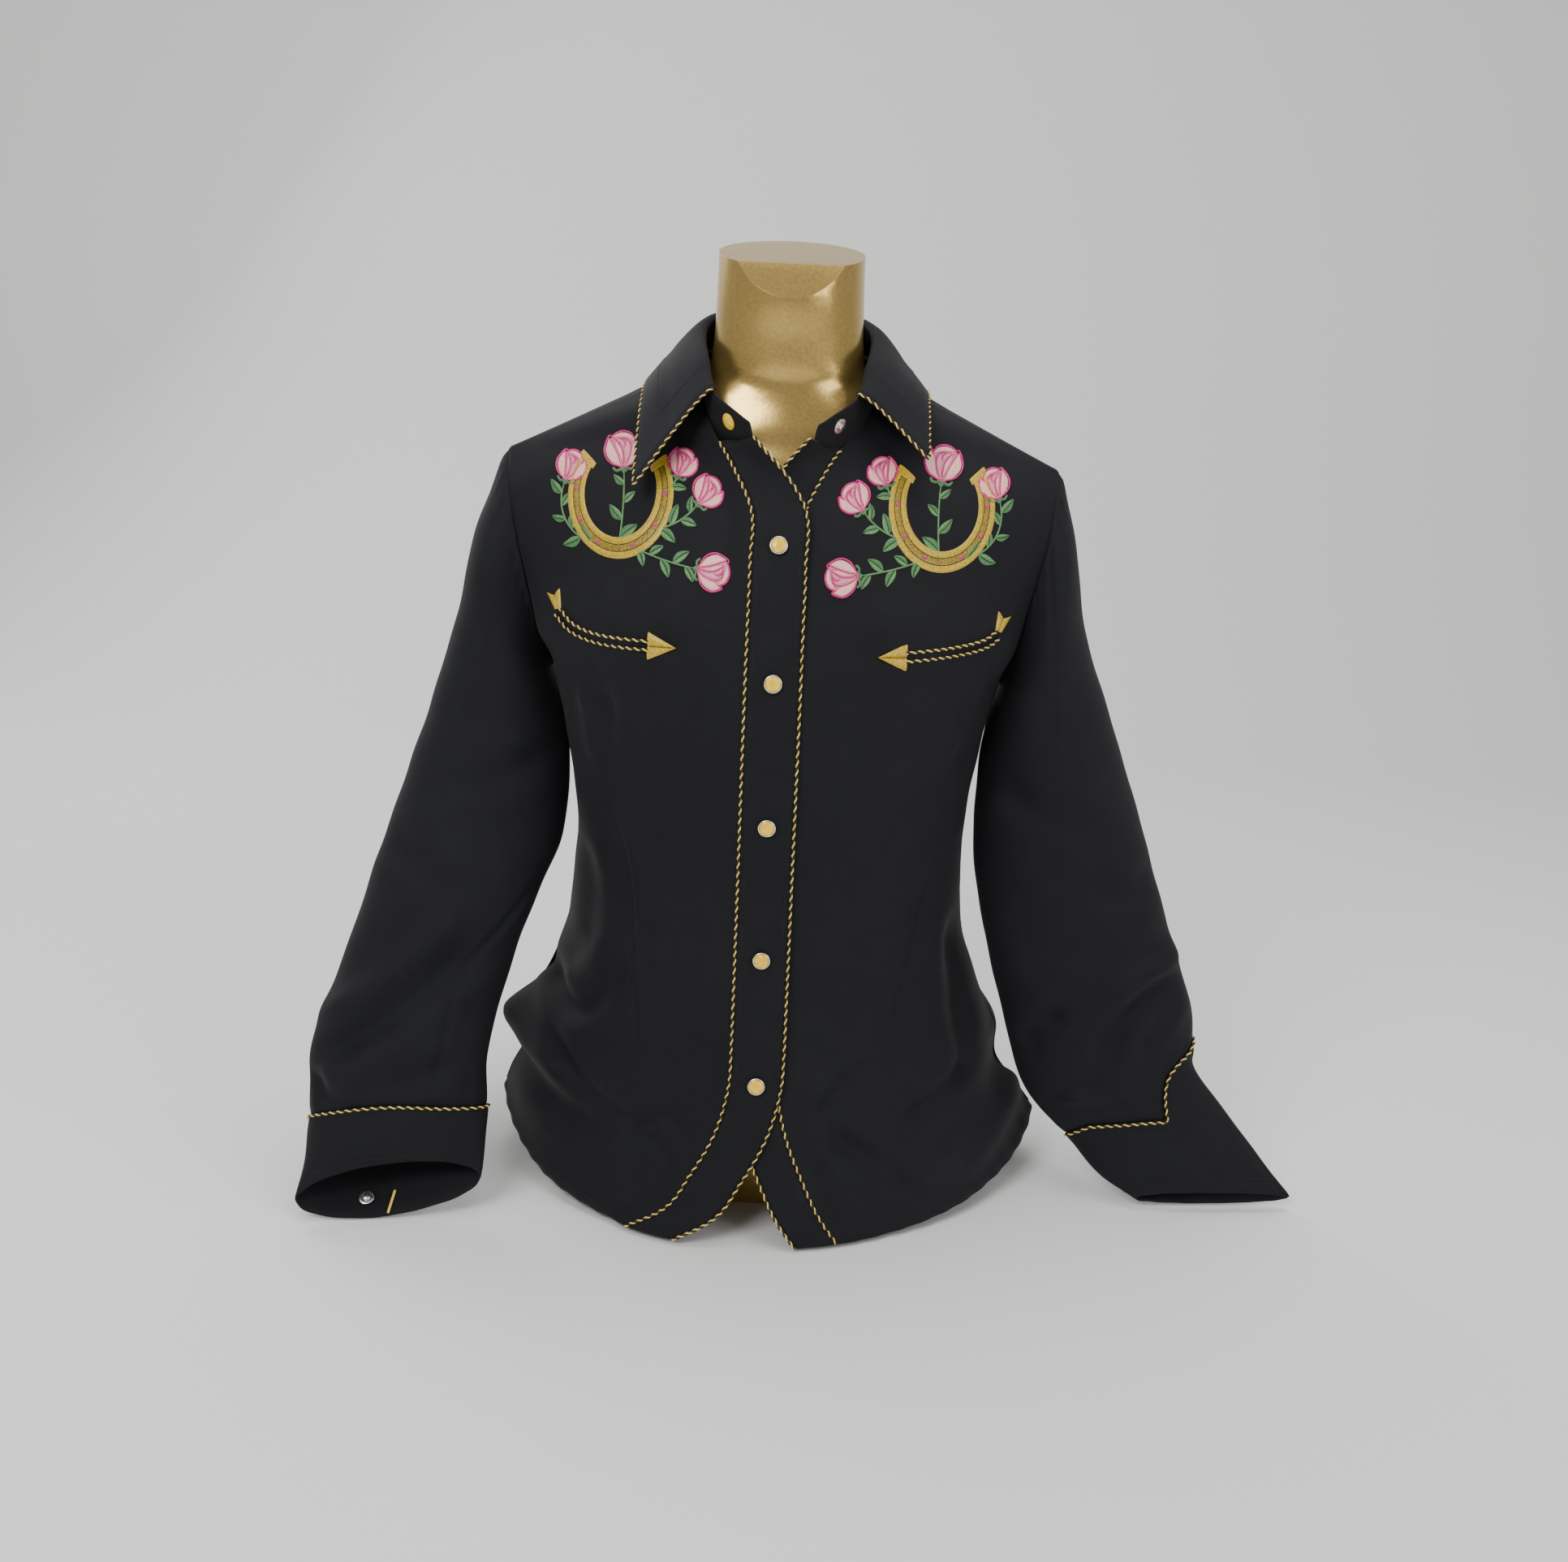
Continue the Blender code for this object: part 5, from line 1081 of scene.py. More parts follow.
def thread(name, dark, pale, roughness=0.45, sheen=0.2):
    """Embroidery or cord thread: fine strands with a silky light along them."""
    made, nodes, links, shader = blank(name, pale, roughness)
    where = nodes.new("ShaderNodeTexCoord").outputs["Object"]
    strands = noise(nodes, links, where, Scale=900.0, Detail=3.0)
    links.new(ramp(nodes, links, strands, (0.32, dark), (0.62, pale)), shader.inputs["Base Color"])
    links.new(bump(nodes, links, strands, 0.35, 0.0002).outputs["Normal"], shader.inputs["Normal"])
    shader.inputs["Sheen Weight"].default_value = sheen
    return made


def gold_paint_material():
    """Satin gold paint, with scratches down to a pinkish undercoat and a few dull patches."""
    made, nodes, links, shader = blank("gold_paint_worn", (0.60, 0.44, 0.19), 0.30, 0.85)
    where = nodes.new("ShaderNodeTexCoord").outputs["Object"]
    stretch = texture(nodes, links, where, "ShaderNodeMapping", Scale=(30, 30, 160), Rotation=(0.5, 0.2, 0.3))
    scratch = noise(nodes, links, stretch.outputs["Vector"], Scale=1.0, Detail=8.0, Roughness=0.72)
    fine = noise(nodes, links, where, Scale=420.0, Detail=4.0)
    gold = ramp(nodes, links, fine, (0.30, (0.50, 0.34, 0.10)), (0.70, (0.62, 0.43, 0.14)))
    mix = node(nodes, "ShaderNodeMixRGB", Color2=(0.72, 0.40, 0.30, 1))
    links.new(ramp(nodes, links, scratch, (0.675, (0, 0, 0)), (0.70, (1, 1, 1))), mix.inputs["Fac"])
    links.new(gold, mix.inputs["Color1"])
    links.new(mix.outputs["Color"], shader.inputs["Base Color"])
    vary_roughness(nodes, links, noise(nodes, links, where, Scale=14.0, Detail=4.0), 0.17, 0.30, shader)
    links.new(bump(nodes, links, fine, 0.12, 0.0004).outputs["Normal"], shader.inputs["Normal"])
    return made


def pearl_material():
    """Amber pearl: cloudy bands under a clear glossy face."""
    made, nodes, links, shader = blank("pearl_amber", (0.90, 0.52, 0.04), 0.18)
    where = nodes.new("ShaderNodeTexCoord").outputs["Object"]
    cloud = noise(nodes, links, where, Scale=190.0, Detail=3.0, Distortion=1.6)
    amber = ramp(nodes, links, cloud, (0.35, (0.86, 0.48, 0.012)), (0.65, (1.00, 0.74, 0.05)))
    links.new(amber, shader.inputs["Base Color"])
    shader.inputs["Coat Weight"].default_value = 0.3
    shader.inputs["Coat Roughness"].default_value = 0.06
    return made


def metal_material():
    made, nodes, links, shader = blank("snap_metal_bright", (0.78, 0.76, 0.71), 0.24, 1.0)
    where = nodes.new("ShaderNodeTexCoord").outputs["Object"]
    vary_roughness(nodes, links, noise(nodes, links, where, Scale=600.0, Detail=2.0), 0.16, 0.34, shader)
    return made


BLACK = twill("black_twill_worn", (0.0036, 0.0038, 0.0058), (0.0066, 0.0070, 0.0100), "UV", 0.03)
BLACK_THREAD = thread("black_thread", (0.004, 0.004, 0.006), (0.010, 0.010, 0.014), 0.6, 0.0)
YELLOW = thread("piping_yellow", (0.76, 0.46, 0.05), (1.00, 0.74, 0.15), 0.5, 0.05)
CORD_BLACK = thread("piping_black", (0.003, 0.003, 0.004), (0.009, 0.009, 0.010), 0.65, 0.0)
THREADS = {
    "gold": thread("thread_gold", (0.34, 0.21, 0.007), (0.68, 0.46, 0.025), 0.40, 0.05),
    "gold_dark": thread("thread_gold_dark", (0.10, 0.062, 0.004), (0.42, 0.28, 0.018), 0.44, 0.05),
    "pink_light": thread("thread_pink_light", (0.84, 0.38, 0.35), (0.97, 0.57, 0.50), 0.42, 0.05),
    "pink_mid": thread("thread_pink_mid", (0.68, 0.20, 0.30), (0.86, 0.38, 0.43), 0.42, 0.05),
    "pink_deep": thread("thread_pink_deep", (0.52, 0.10, 0.22), (0.70, 0.22, 0.32), 0.45, 0.05),
    "magenta": thread("thread_magenta", (0.50, 0.004, 0.14), (0.78, 0.015, 0.26), 0.42, 0.0),
    "leaf_light": thread("thread_leaf_light", (0.060, 0.17, 0.050), (0.13, 0.31, 0.10), 0.42, 0.05),
    "leaf_dark": thread("thread_leaf_dark", (0.038, 0.12, 0.038), (0.080, 0.22, 0.075), 0.42, 0.05),
    "leaf_vein": thread("thread_leaf_vein", (0.012, 0.050, 0.022), (0.025, 0.090, 0.040), 0.5, 0.0),
}
PEARL = pearl_material()
METAL = metal_material()


# ---- the shirt's cloth ----------------------------------------------------------------------
FINE = 1.0


def rows_of(low, high, count):
    return np.linspace(low, high, max(int(count * FINE), 8))


def finish_cloth(piece, replaced):
    settle(piece, "black_twill", replaced)


def skin(side, face, a, v):
    """Points of the smooth body, and the way straight out of it at each."""
    base = torso_point(side, face, a, v)
    return base, unit(lifted(side, face, a, v, PROBE) - base)


def sleeve_skin(side, turn, s):
    base = sleeve_point(side, turn, s)
    return base, unit(sleeve_lifted(side, turn, s, PROBE) - base)


def front_grid(side, a, v):
    base, outward = skin(side, -1, a, v)
    points = base + outward * front_relief(side, a, v, base)[..., None]
    points[..., 2] = np.maximum(points[..., 2], 0.0012)
    return points, outward


def make_front(side):
    v = rows_of(HEM_V, SHOULDER_V, 195)
    half = HALF[side]
    neck = np.clip((0.975 - v) / (0.975 - PLACKET_TOP_V), 0, 1)
    inner = SEAM + (half + 0.0002 - SEAM) * neck
    outer = torso_length(side, -1, v) - SEAM / 2
    share = np.linspace(0, 1, int(90 * FINE) + 20)
    a = inner[:, None] * (1 - share) + outer[:, None] * share
    points, outward = front_grid(side, a, np.broadcast_to(v[:, None], a.shape).copy())
    piece = shell(f"cloth_front_{HAND[side]}", points, outward, CLOTH, BLACK)
    finish_cloth(piece, f"front_{HAND[side]}")


def make_back():
    v = rows_of(HEM_V, SHOULDER_V, 170)
    halves = []
    outs = []
    for side in (-1, 1):
        outer = torso_length(side, 1, v) - SEAM / 2
        share = np.linspace(0, 1, int(70 * FINE) + 16)
        a = share[None, :] * outer[:, None]
        vv = np.broadcast_to(v[:, None], a.shape).copy()
        base, outward = skin(side, 1, a, vv)
        halves.append(base + outward * back_relief(side, a, vv, base)[..., None])
        outs.append(outward)
    low = int(np.sum(v < BACK_NECK_V))
    body = np.concatenate([halves[0][:low, ::-1], halves[1][:low, 1:]], 1)
    body_out = np.concatenate([outs[0][:low, ::-1], outs[1][:low, 1:]], 1)
    pieces = [shell("cloth_back", body, body_out, CLOTH, BLACK)]
    for side, k in ((-1, 0), (1, 1)):
        top = shell(f"cloth_back_shoulder_{HAND[side]}", halves[k][low - 1:], outs[k][low - 1:],
                    CLOTH, BLACK)
        settle(top, "black_twill")
        pieces.append(top)
    settle(pieces[0], "black_twill", "back")


def make_placket(side):
    half = HALF[side]
    v = rows_of(HEM_V, BAND_TOP_V, 260)
    a = np.broadcast_to(np.linspace(-half, half, 15)[None, :], (len(v), 15))
    vv = np.broadcast_to(v[:, None], a.shape)
    lift = smooth(BAND_ROWS, vv)[..., 2] if side < 0 else np.zeros(a.shape)
    base, outward = skin(side, -1, a, vv)
    z = base[..., 2]
    edge = np.clip(np.abs(a) / half, 0, 1)
    pucker = 0.00022 * np.sin(z * 2 * math.pi / 0.0093 + 2 * np.sin(z * 31)) * edge**3
    soft = 0.00035 * np.sin(z * 2 * math.pi / 0.043 + a * 90 + np.sin(z * 19))
    snap = sum(np.exp(-((z - height)**2 + a**2) / 0.011**2) for height in SNAP_HEIGHTS)
    points = base + outward * (lift + pucker + soft * (1 - edge**4) - 0.0005 * snap * (side < 0))[..., None]
    points[..., 2] = np.maximum(points[..., 2], 0.0012)
    piece = shell(f"cloth_placket_{HAND[side]}", points, outward, BAND, BLACK)
    finish_cloth(piece, f"placket_{HAND[side]}")


def make_sleeve(side):
    count = int(104 * FINE) + 20
    turn = np.arange(count) / count
    share = rows_of(0.0, 1.0, 160)[:, None]
    s = share * (cuff_edge(side, turn)[None, :] + 0.0015)
    turns = np.broadcast_to(turn[None, :], s.shape)
    base, outward = sleeve_skin(side, turns, s)
    relief = sleeve_relief(side, turns, s, base)
    under = -0.0009 * np.exp(-np.maximum(cuff_edge(side, turns) - s, 0) / 0.004)
    points = base + outward * (relief + under)[..., None]
    points[..., 0] -= side * 0.0016 * np.exp(-(s / 0.006)**2)
    piece = shell(f"cloth_sleeve_{HAND[side]}", points, outward, CLOTH, BLACK, closed=True)
    finish_cloth(piece, f"sleeve_{HAND[side]}")


def make_cuff(side):
    count = 110
    turn = np.arange(count) / count
    share = np.linspace(0.0, 1.0, int(36 * FINE) + 8)[:, None]
    edge = cuff_edge(side, turn)[None, :]
    s = edge + share * (1 - edge)
    turns = np.broadcast_to(turn[None, :], s.shape)
    base, outward = sleeve_skin(side, turns, s)
    soft = waviness(base[..., 0] * 1.3, base[..., 1], base[..., 2]) * 1.2
    rim = 0.0004 * np.sin(turns * 2 * math.pi * 13) * np.exp(-((1 - share) / 0.2))
    points = base + outward * (0.0004 + soft * soft_step(share / 0.2) + rim)[..., None]
    points[..., 2] = np.maximum(points[..., 2], 0.0022)
    piece = shell(f"cloth_cuff_{HAND[side]}", points, outward, BAND, BLACK, closed=True)
    finish_cloth(piece, f"cuff_{HAND[side]}")


def make_collar():
    w = np.linspace(-FALL_END, FALL_END, int(150 * FINE) + 21)
    t = np.linspace(0, 1, int(34 * FINE) + 8)[:, None]
    ww = np.broadcast_to(w[None, :], (len(t), len(w)))
    points = fall_point(ww, np.broadcast_to(t, ww.shape))
    normal = grid_normals(points, False)
    if np.sum(normal[..., 2]) < 0:
        normal = -normal
    sag = 0.0006 * np.sin(ww * 21 + t * 4) * np.sin(np.pi * t)
    puff = 0.0005 * np.exp(-((1 - t) / 0.12)**2) - 0.0004 * np.exp(-((t - 0.80) / 0.05)**2)
    points = points + normal * (sag + puff)[..., None]
    piece = shell("cloth_collar", points, normal, BAND, BLACK)
    finish_cloth(piece, "collar")
    return points, normal


def make_stand():
    w = np.linspace(-1, 1, int(140 * FINE) + 21)
    height = np.linspace(0, 1, int(18 * FINE) + 6)[:, None]
    ww = np.broadcast_to(w[None, :], (len(height), len(w)))
    hh = np.broadcast_to(height, ww.shape)
    points = stand_point(ww, hh, 0.0)
    normal = stand_point(ww, hh, 0.001) - points
    normal = unit(normal)
    round_end = 1 - 0.30 * np.exp(-((1 - np.abs(ww)) / 0.02)**2)
    middle = stand_point(ww, np.full(ww.shape, 0.5), 0.0)
    points = middle + (points - middle) * round_end[..., None]
    tuck = 0.0065 * soft_step((np.abs(ww) - 0.80) / 0.12) * (1 - hh)**2
    points[..., 2] -= tuck
    points = points + normal * (0.0004 * np.sin(ww * 60) * np.sin(np.pi * hh))[..., None]
    piece = shell("cloth_stand", points, normal, BAND, BLACK)
    finish_cloth(piece, "collar_stand")


for side in (-1, 1):
    make_front(side)
    make_placket(side)
    make_sleeve(side)
    make_cuff(side)
make_back()
collar_points, collar_normals = make_collar()
make_stand()


# ---- seam allowances: the folded cloth under the shoulder and side seams ---------------------
ALLOWANCE, ALLOWANCE_LIFT = 0.0007, 0.0003


def seam_allowance(side, place, a, v):
    verts, faces = sweep(resample(lifted(side, -1, a, v, ALLOWANCE_LIFT), 0.003), ALLOWANCE, 7)
    piece = new_object(f"seam_{place}_{HAND[side]}", verts.tolist(), faces, BLACK_THREAD)
    settle(piece, "black_twill")


for side in (-1, 1):
    top_a = np.linspace(0.004, float(torso_length(side, -1, np.array([1.0]))[0]) - 0.002, 60)
    seam_allowance(side, "shoulder", top_a, np.full(60, 1.0))
    side_v = np.linspace(0.012, TIP_V - 0.004, 120)
    seam_allowance(side, "side", torso_length(side, -1, side_v), side_v)


# ---- piping ---------------------------------------------------------------------------------
def slant(side, v):
    """How much longer a step across the rows is than the same step square to the band's edge."""
    step = 0.002
    along = torso_point(side, -1, 0.0, v + step) - torso_point(side, -1, 0.0, v - step)
    across = torso_point(side, -1, step, v) - torso_point(side, -1, -step, v)
    lengths = np.linalg.norm(along, axis=-1) * np.linalg.norm(across, axis=-1)
    return lengths / np.linalg.norm(np.cross(along, across), axis=-1)


def band_cords(side):
    half = HALF[side]
    v = np.linspace(HEM_V, BAND_TOP_V, 240)
    out = half + (CORD_RADIUS * 0.85 + CORD_GAP * 0.2) * slant(side, v)
    lift = (smooth(BAND_ROWS, v)[:, 2] + BAND * 0.65) if side < 0 else np.full(len(v), CORD_RADIUS)
    for tag, a in (("edge", -out), ("seam", out)):
        line = lifted(side, -1, a, v, lift)
        line[:, 2] = np.maximum(line[:, 2], CORD_RADIUS + SEAM)
        twisted_cord(f"cord_{tag}_{HAND[side]}", line, f"piping_{tag}_{HAND[side]}")


def cuff_cord(side):
    turn = np.linspace(0.5, -0.47, 260)
    line = sleeve_lifted(side, turn, cuff_edge(side, turn) + 0.002, BAND + CORD_RADIUS * 0.75)
    twisted_cord(f"cord_cuff_{HAND[side]}", line, f"piping_cuff_{HAND[side]}")


def collar_cord():
    t = np.linspace(0.10, 0.97, 24)
    w = np.linspace(-FALL_END, FALL_END, 180)
    left, edge, right = fall_point(-FALL_END, t), fall_point(w, 1.0), fall_point(FALL_END, t[::-1])
    line = np.concatenate([left, edge, right])
    out = line - np.array([0.0, 0.03, 0.62])
    out[:, 2] = 0
    out = unit(out)
    away = out + np.array([0.0, -0.2, -1.0]) * 0.15
    away[:24] = away[-24:] = np.array([0.0, -1.0, -0.3])
    away = unit(away)
    line = line + away * (CORD_RADIUS + 0.0002)
    line = line + np.array([0.0, 0.0, 0.0006])
    twisted_cord("cord_collar", line, "piping_collar")


for side in (-1, 1):
    band_cords(side)
    cuff_cord(side)
collar_cord()


# ---- smile pockets --------------------------------------------------------------------------
def pocket_parts(side):
    places = POCKET_OVER if side < 0 else POCKET_UNDER
    path = bend(places, 60)
    step = np.gradient(path, axis=0)
    normal = np.stack([step[:, 1], -step[:, 0]], -1)
    normal = unit(normal)
    for tag, offset in (("upper", -1), ("lower", 1)):
        line = path + normal * offset * POCKET_CORD_STEP / 2
        a, v = find_on_front(side, line[:, 0], line[:, 1])
        points = lifted(side, -1, a, v, CLOTH + CORD_RADIUS * 0.8)
        twisted_cord(f"cord_pocket_{tag}_{HAND[side]}", points, f"pocket_cord_{tag}_{HAND[side]}")
    store_head, store_tail = {}, {}
    tip_x, tip_z = np.array(places[-1]) * 1000
    point = [tip_x - HEAD_LENGTH, tip_z]
    for sign in (-1, 1):
        rim = np.array([[tip_x + HEAD_LEAD, tip_z + sign * HEAD_HALF], point])
        satin(store_head, "gold", np.array([[tip_x + HEAD_LEAD, tip_z], point]), rim, 0.9)
    strand(store_head, "gold_dark", np.array([[tip_x - 0.5, tip_z], [tip_x - 18.0, tip_z]]), 0.8, 1.0)
    end_x, end_z = np.array(places[0]) * 1000
    ahead = np.array([0.36, 0.93])
    aside = np.array([0.93, -0.36])
    start = np.array([end_x, end_z]) + ahead * 2.0
    for sign in (-1, 1):
        spine = np.stack([start, start + ahead * TAIL_LENGTH])
        rim = np.stack([start + aside * sign * TAIL_ROOT,
                        start + ahead * TAIL_REACH + aside * sign * TAIL_SPREAD])
        satin(store_tail, "gold", spine, rim, 0.9)
    heads = sew(store_head, side, f"arrow_head_{HAND[side]}_satin", CLOTH, THREADS)
    tails = sew(store_tail, side, f"arrow_tail_{HAND[side]}_satin", CLOTH, THREADS)
    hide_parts(f"arrow_head_{HAND[side]}")
    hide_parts(f"arrow_tail_{HAND[side]}")


for side in (-1, 1):
    pocket_parts(side)
    sew(yoke_motif(), side, f"motif_{HAND[side]}", CLOTH, THREADS)


# ---- snaps ----------------------------------------------------------------------------------
# each snap part's outline in millimetres: radius and height from its axis, out and back to it
RIM = ((0, 0), (5.5, 0), (6.1, 0.3), (6.35, 0.9), (6.3, 1.5), (6.0, 1.95), (5.6, 2.05), (5.3, 1.8),
       (5.15, 1.2), (0, 1.1))
FACE = ((0, 1.3), (5.0, 1.4), (5.15, 1.75), (4.9, 2.2), (4.2, 2.65), (3.0, 3.0), (1.5, 3.15), (0, 3.2))
CAP = ((0, 0), (5.4, 0), (6.0, 0.4), (6.1, 0.9), (5.6, 1.6), (4.2, 2.1), (2.2, 2.35), (0, 2.4))
STUD = ((0, 0), (5.2, 0), (5.8, 0.4), (5.7, 1.0), (4.9, 1.3), (3.4, 1.1), (2.6, 1.2), (2.4, 2.4),
        (1.8, 2.7), (0, 2.6))


def turned(name, profile, place, normal, material_slot, slot_name, node_name=None, sides=40):
    verts = [(0, 0, profile[0][1] * MM)]
    for radius, height in profile[1:-1]:
        for k in range(sides):
            angle = 2 * math.pi * k / sides
            verts.append((radius * MM * math.cos(angle), radius * MM * math.sin(angle), height * MM))
    verts.append((0, 0, profile[-1][1] * MM))
    rings, last = len(profile) - 2, len(verts) - 1
    faces = []
    for k in range(sides):
        n = (k + 1) % sides
        faces.append((0, 1 + n, 1 + k))
        faces.append((last, 1 + (rings - 1) * sides + k, 1 + (rings - 1) * sides + n))
        for r in range(rings - 1):
            low, high = 1 + r * sides, 1 + (r + 1) * sides
            faces.append((low + k, low + n, high + n, high + k))
    turn = Vector(normal).to_track_quat("Z", "Y").to_matrix()
    verts = [tuple(turn @ Vector(p) + Vector(place)) for p in verts]
    made = new_object(name, verts, faces, material_slot)
    made.data.set_sharp_from_angle(angle=math.radians(50))
    settle(made, slot_name, *([node_name] if node_name else []))


for number, height in enumerate(SNAP_HEIGHTS, 1):
    a, v = find_on_front(-1, np.array([0.0]), np.array([height]))
    lift = float(smooth(BAND_ROWS, v)[0, 2]) + BAND + 0.0001
    base = lifted(-1, -1, a, v, lift)[0]
    normal = lifted(-1, -1, a, v, lift + 0.01)[0] - base
    turned(f"snap_ring_{number}", RIM, base, normal, METAL, "snap_metal", f"snap_rim_{number}")
    turned(f"snap_face_{number}", FACE, base, normal, PEARL, "pearl", f"snap_pearl_{number}")
for name, w, profile, slot_material, slot_name, node_name in (
        ("neck_cap_face", -0.95, CAP, PEARL, "pearl", "neck_snap_cap"),
        ("neck_stud_metal", 0.95, STUD, METAL, "snap_metal", "neck_snap_stud")):
    base = stand_point(w, 0.5, BAND + 0.0001)
    normal = stand_point(w, 0.5, BAND + 0.01) - base
    turned(name, profile, base, normal, slot_material, slot_name, node_name)
inner_turn, inner_s = 0.80, 0.972
ring_base = sleeve_lifted(-1, inner_turn, inner_s, -0.0002)
ring_normal = sleeve_lifted(-1, inner_turn, inner_s, -0.01) - ring_base
turned("cuff_ring_right", STUD, ring_base, ring_normal, METAL, "snap_metal")
cuff_tab = sleeve_lifted(-1, np.linspace(0.755, 0.75, 12), np.linspace(0.998, 0.965, 12), -0.0010)
verts, faces = sweep(resample(cuff_tab, 0.001), 0.0010, 8)
tab = new_object("cuff_inner_piping", verts.tolist(), faces, YELLOW)
settle(tab, "piping")


# ---- topstitching ---------------------------------------------------------------------------
def front_stitches(side):
    parts = []
    half = HALF[side]
    outer = float(torso_length(side, -1, np.array([0.013]))[0])
    a = np.linspace(half + 0.004, outer - 0.002, 260)
    v = np.full(len(a), HEM_STITCH_V)
    points, outward = front_grid(side, a[None, :], v[None, :])
    stitch_line(parts, (points + outward * (CLOTH + STITCH_LIFT))[0], outward[0])
    v = np.linspace(0.012, 0.915, 300)
    lift = smooth(BAND_ROWS, v)[:, 2] if side < 0 else np.zeros(len(v))
    for shift in (-(half - 0.0035), half - 0.0035):
        if side > 0 and shift < 0:
            continue
        a = np.full(len(v), shift)
        base, outward = skin(side, -1, a, v)
        stitch_line(parts, base + outward * (lift + BAND + STITCH_LIFT)[:, None], outward)
    stitch_object(f"stitches_front_{HAND[side]}", parts, BLACK_THREAD)


def back_stitches():
    parts = []
    for side in (-1, 1):
        outer = float(torso_length(side, 1, np.array([0.013]))[0])
        a = np.linspace(0.0, outer - 0.002, 240)[None, :]
        v = np.full(a.shape, HEM_STITCH_V)
        base, outward = skin(side, 1, a, v)
        points = base + outward * (back_relief(side, a, v, base) + CLOTH + STITCH_LIFT)[..., None]
        stitch_line(parts, points[0], outward[0])
    stitch_object("stitches_back", parts, BLACK_THREAD)


def cuff_stitches(side):
    parts = []
    turn = np.linspace(0.0, 1.0, 300)
    edge = cuff_edge(side, turn)
    for s in (0.975 + 0 * turn, edge + 0.012):
        points = sleeve_lifted(side, turn, s, BAND + 0.0005)
        outward = unit(points - sleeve_point(side, turn, s))
        stitch_line(parts, points, outward)
    stitch_object(f"stitches_cuff_{HAND[side]}", parts, BLACK_THREAD)


def collar_stitches():
    rows = len(collar_points)
    outer = collar_points + collar_normals * (BAND + STITCH_LIFT)
    row = int(rows * 0.86)
    side_inset = 6
    parts = []
    stitch_line(parts, outer[row, side_inset:-side_inset], collar_normals[row, side_inset:-side_inset])
    for k in (side_inset, -side_inset - 1):
        stitch_line(parts, outer[int(rows * 0.3):row + 1, k], collar_normals[int(rows * 0.3):row + 1, k])
    stitch_object("stitches_collar", parts, BLACK_THREAD)


for side in (-1, 1):
    front_stitches(side)
    cuff_stitches(side)
back_stitches()
collar_stitches()


# ---- dress form -----------------------------------------------------------------------------
def make_form():
    z = np.concatenate([np.linspace(0, 0.50, 60), np.linspace(0.505, 0.665, 50), np.linspace(0.67, 0.74, 12)])
    rings = smooth(FORM_RINGS, z)
    count = 96
    angle = 2 * np.pi * np.arange(count) / count
    cosine, sine = np.cos(angle), np.sin(angle)
    points = []
    for height, (width, front, back, square) in zip(z, rings):
        x = width * np.sign(cosine) * np.abs(cosine)**(2 / square)
        y = np.where(sine < 0, front, back) * np.sign(sine) * np.abs(sine)**(2 / square)
        points.append(np.stack([x, y, np.full(count, height)], -1))
    points = np.array(points)
    data = bpy.data.meshes.new("form_body")
    data.from_pydata(points.reshape(-1, 3).tolist(), [], quads(len(z), count, True).tolist())
    mesh = bmesh.new()
    mesh.from_mesh(data)
    bmesh.ops.holes_fill(mesh, edges=mesh.edges[:])
    for place, normal in (((0, 0.05, NECK_CAP), (0, -0.27, 1)), (NECK_FACET, (0, -0.84, 0.54))):
        geometry = mesh.verts[:] + mesh.edges[:] + mesh.faces[:]
        bmesh.ops.bisect_plane(mesh, geom=geometry, plane_co=place, plane_no=normal, clear_outer=True)
        bmesh.ops.holes_fill(mesh, edges=[e for e in mesh.edges if e.is_boundary])
    bmesh.ops.recalc_face_normals(mesh, faces=mesh.faces)
    mesh.to_mesh(data)
    mesh.free()
    data.materials.append(gold_paint_material())
    data.shade_smooth()
    made = bpy.data.objects.new("form_body", data)
    bpy.context.scene.collection.objects.link(made)
    edge = made.modifiers.new("soft edge", "BEVEL")
    edge.width = 0.0022
    edge.segments = 3
    edge.limit_method = "ANGLE"
    edge.angle_limit = math.radians(28)
    data.set_sharp_from_angle(angle=math.radians(50))
    settle(made, "gold_paint", "dress_form")


make_form()


# ---- floor, light and camera ------------------------------------------------------------------
FLOOR_REACH, SWEEP_START, SWEEP_RADIUS = 6.0, 1.6, 0.9
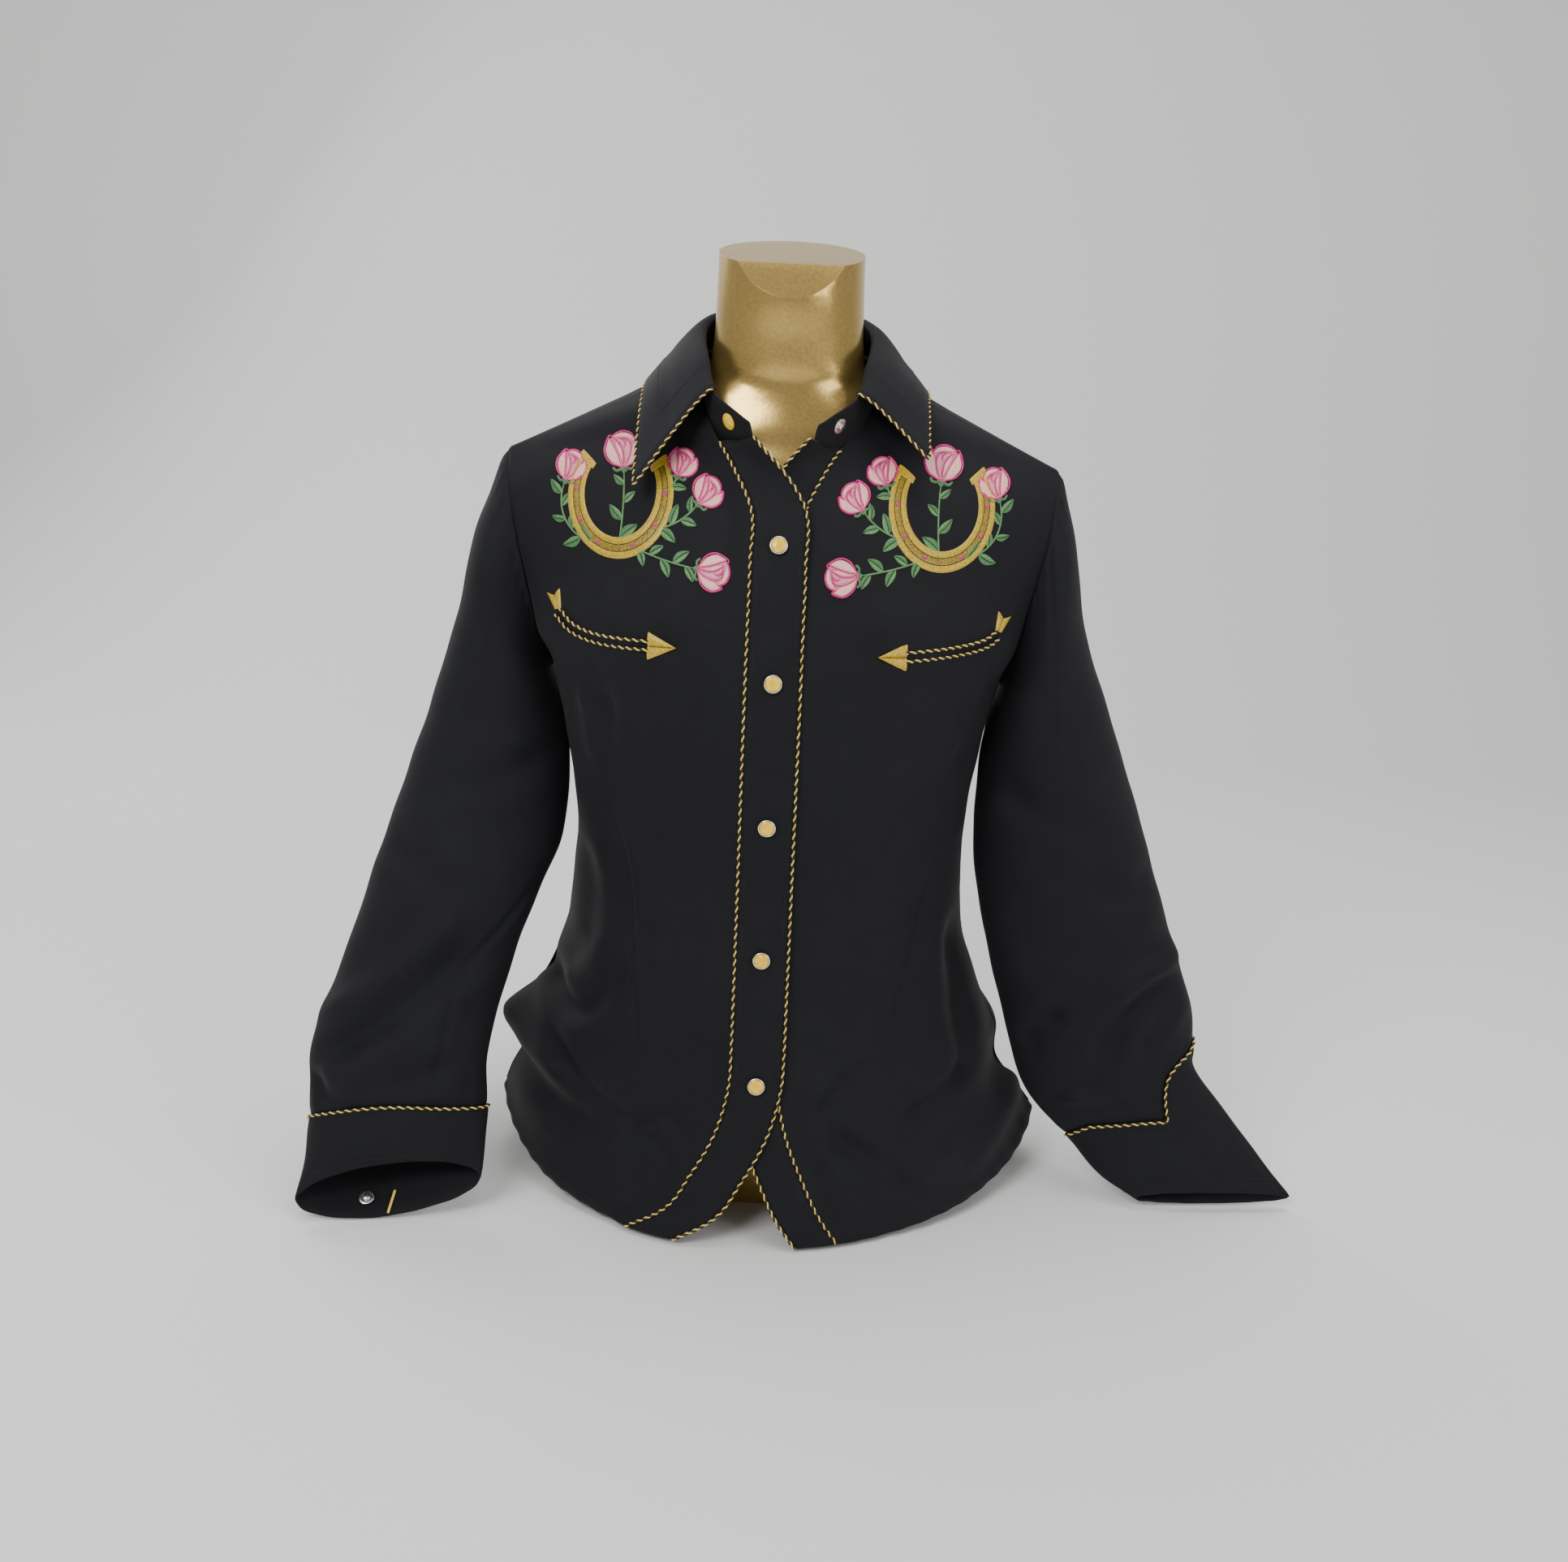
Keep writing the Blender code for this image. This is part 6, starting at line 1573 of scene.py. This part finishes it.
# name, place, the point it faces, size, watts
LIGHTS = (
    ("key", (-1.1, -2.0, 2.1), (0, 0, 0.4), (1.3, 1.0), 46),
    ("fill", (1.9, -1.6, 1.3), (0, 0, 0.35), (1.4, 1.4), 22),
    ("top", (0.1, 0.2, 2.6), (0, 0, 0.3), (1.8, 1.2), 28),
    ("back_left", (-1.6, 1.7, 1.6), (0, 0, 0.4), (1.2, 1.2), 18),
)
WORLD_LIGHT = 0.42
CAMERA_PLACE, CAMERA_TILT, CAMERA_ROLL = (0.0105, -1.20, 0.5875), 77, 2.5     # metres, degrees
CAMERA_LENS, CAMERA_SENSOR = 36.15, 36.0                                      # millimetres


def make_floor():
    """A pale floor that sweeps up into a backdrop."""
    data = bpy.data.meshes.new("floor")
    profile = [(-FLOOR_REACH, 0.0), (SWEEP_START, 0.0)]
    profile += [(SWEEP_START + SWEEP_RADIUS * math.sin(t), SWEEP_RADIUS - SWEEP_RADIUS * math.cos(t))
                for t in np.linspace(0.1, math.pi / 2, 14)]
    profile += [(SWEEP_START + SWEEP_RADIUS, FLOOR_REACH)]
    verts = [(x, y, z) for y, z in profile for x in (-FLOOR_REACH, FLOOR_REACH)]
    faces = [(2 * k, 2 * k + 1, 2 * k + 3, 2 * k + 2) for k in range(len(profile) - 1)]
    data.from_pydata(verts, [], faces)
    data.materials.append(blank("floor_pale", (0.86, 0.86, 0.85), 0.7)[0])
    data.shade_smooth()
    floor = bpy.data.objects.new("floor", data)
    bpy.context.scene.collection.objects.link(floor)


def area_light(name, place, target, size, power):
    data = bpy.data.lights.new(name, "AREA")
    data.shape = "RECTANGLE"
    data.size, data.size_y = size
    data.energy = power
    made = bpy.data.objects.new(name, data)
    made.location = place
    made.rotation_euler = (Vector(target) - Vector(place)).to_track_quat("-Z", "Y").to_euler()
    bpy.context.scene.collection.objects.link(made)


make_floor()
for light in LIGHTS:
    area_light(*light)

world = bpy.data.worlds.new("studio")
world.use_nodes = True
world.node_tree.nodes["Background"].inputs[0].default_value = (1, 1, 1, 1)
world.node_tree.nodes["Background"].inputs[1].default_value = WORLD_LIGHT
bpy.context.scene.world = world

camera = bpy.data.objects.new("camera", bpy.data.cameras.new("camera"))
camera.data.sensor_width = CAMERA_SENSOR
camera.data.lens = CAMERA_LENS
camera.location = CAMERA_PLACE
camera.rotation_euler = (Matrix.Rotation(math.radians(CAMERA_TILT), 4, "X")
                         @ Matrix.Rotation(math.radians(CAMERA_ROLL), 4, "Z")).to_euler()
bpy.context.scene.collection.objects.link(camera)
bpy.context.scene.camera = camera
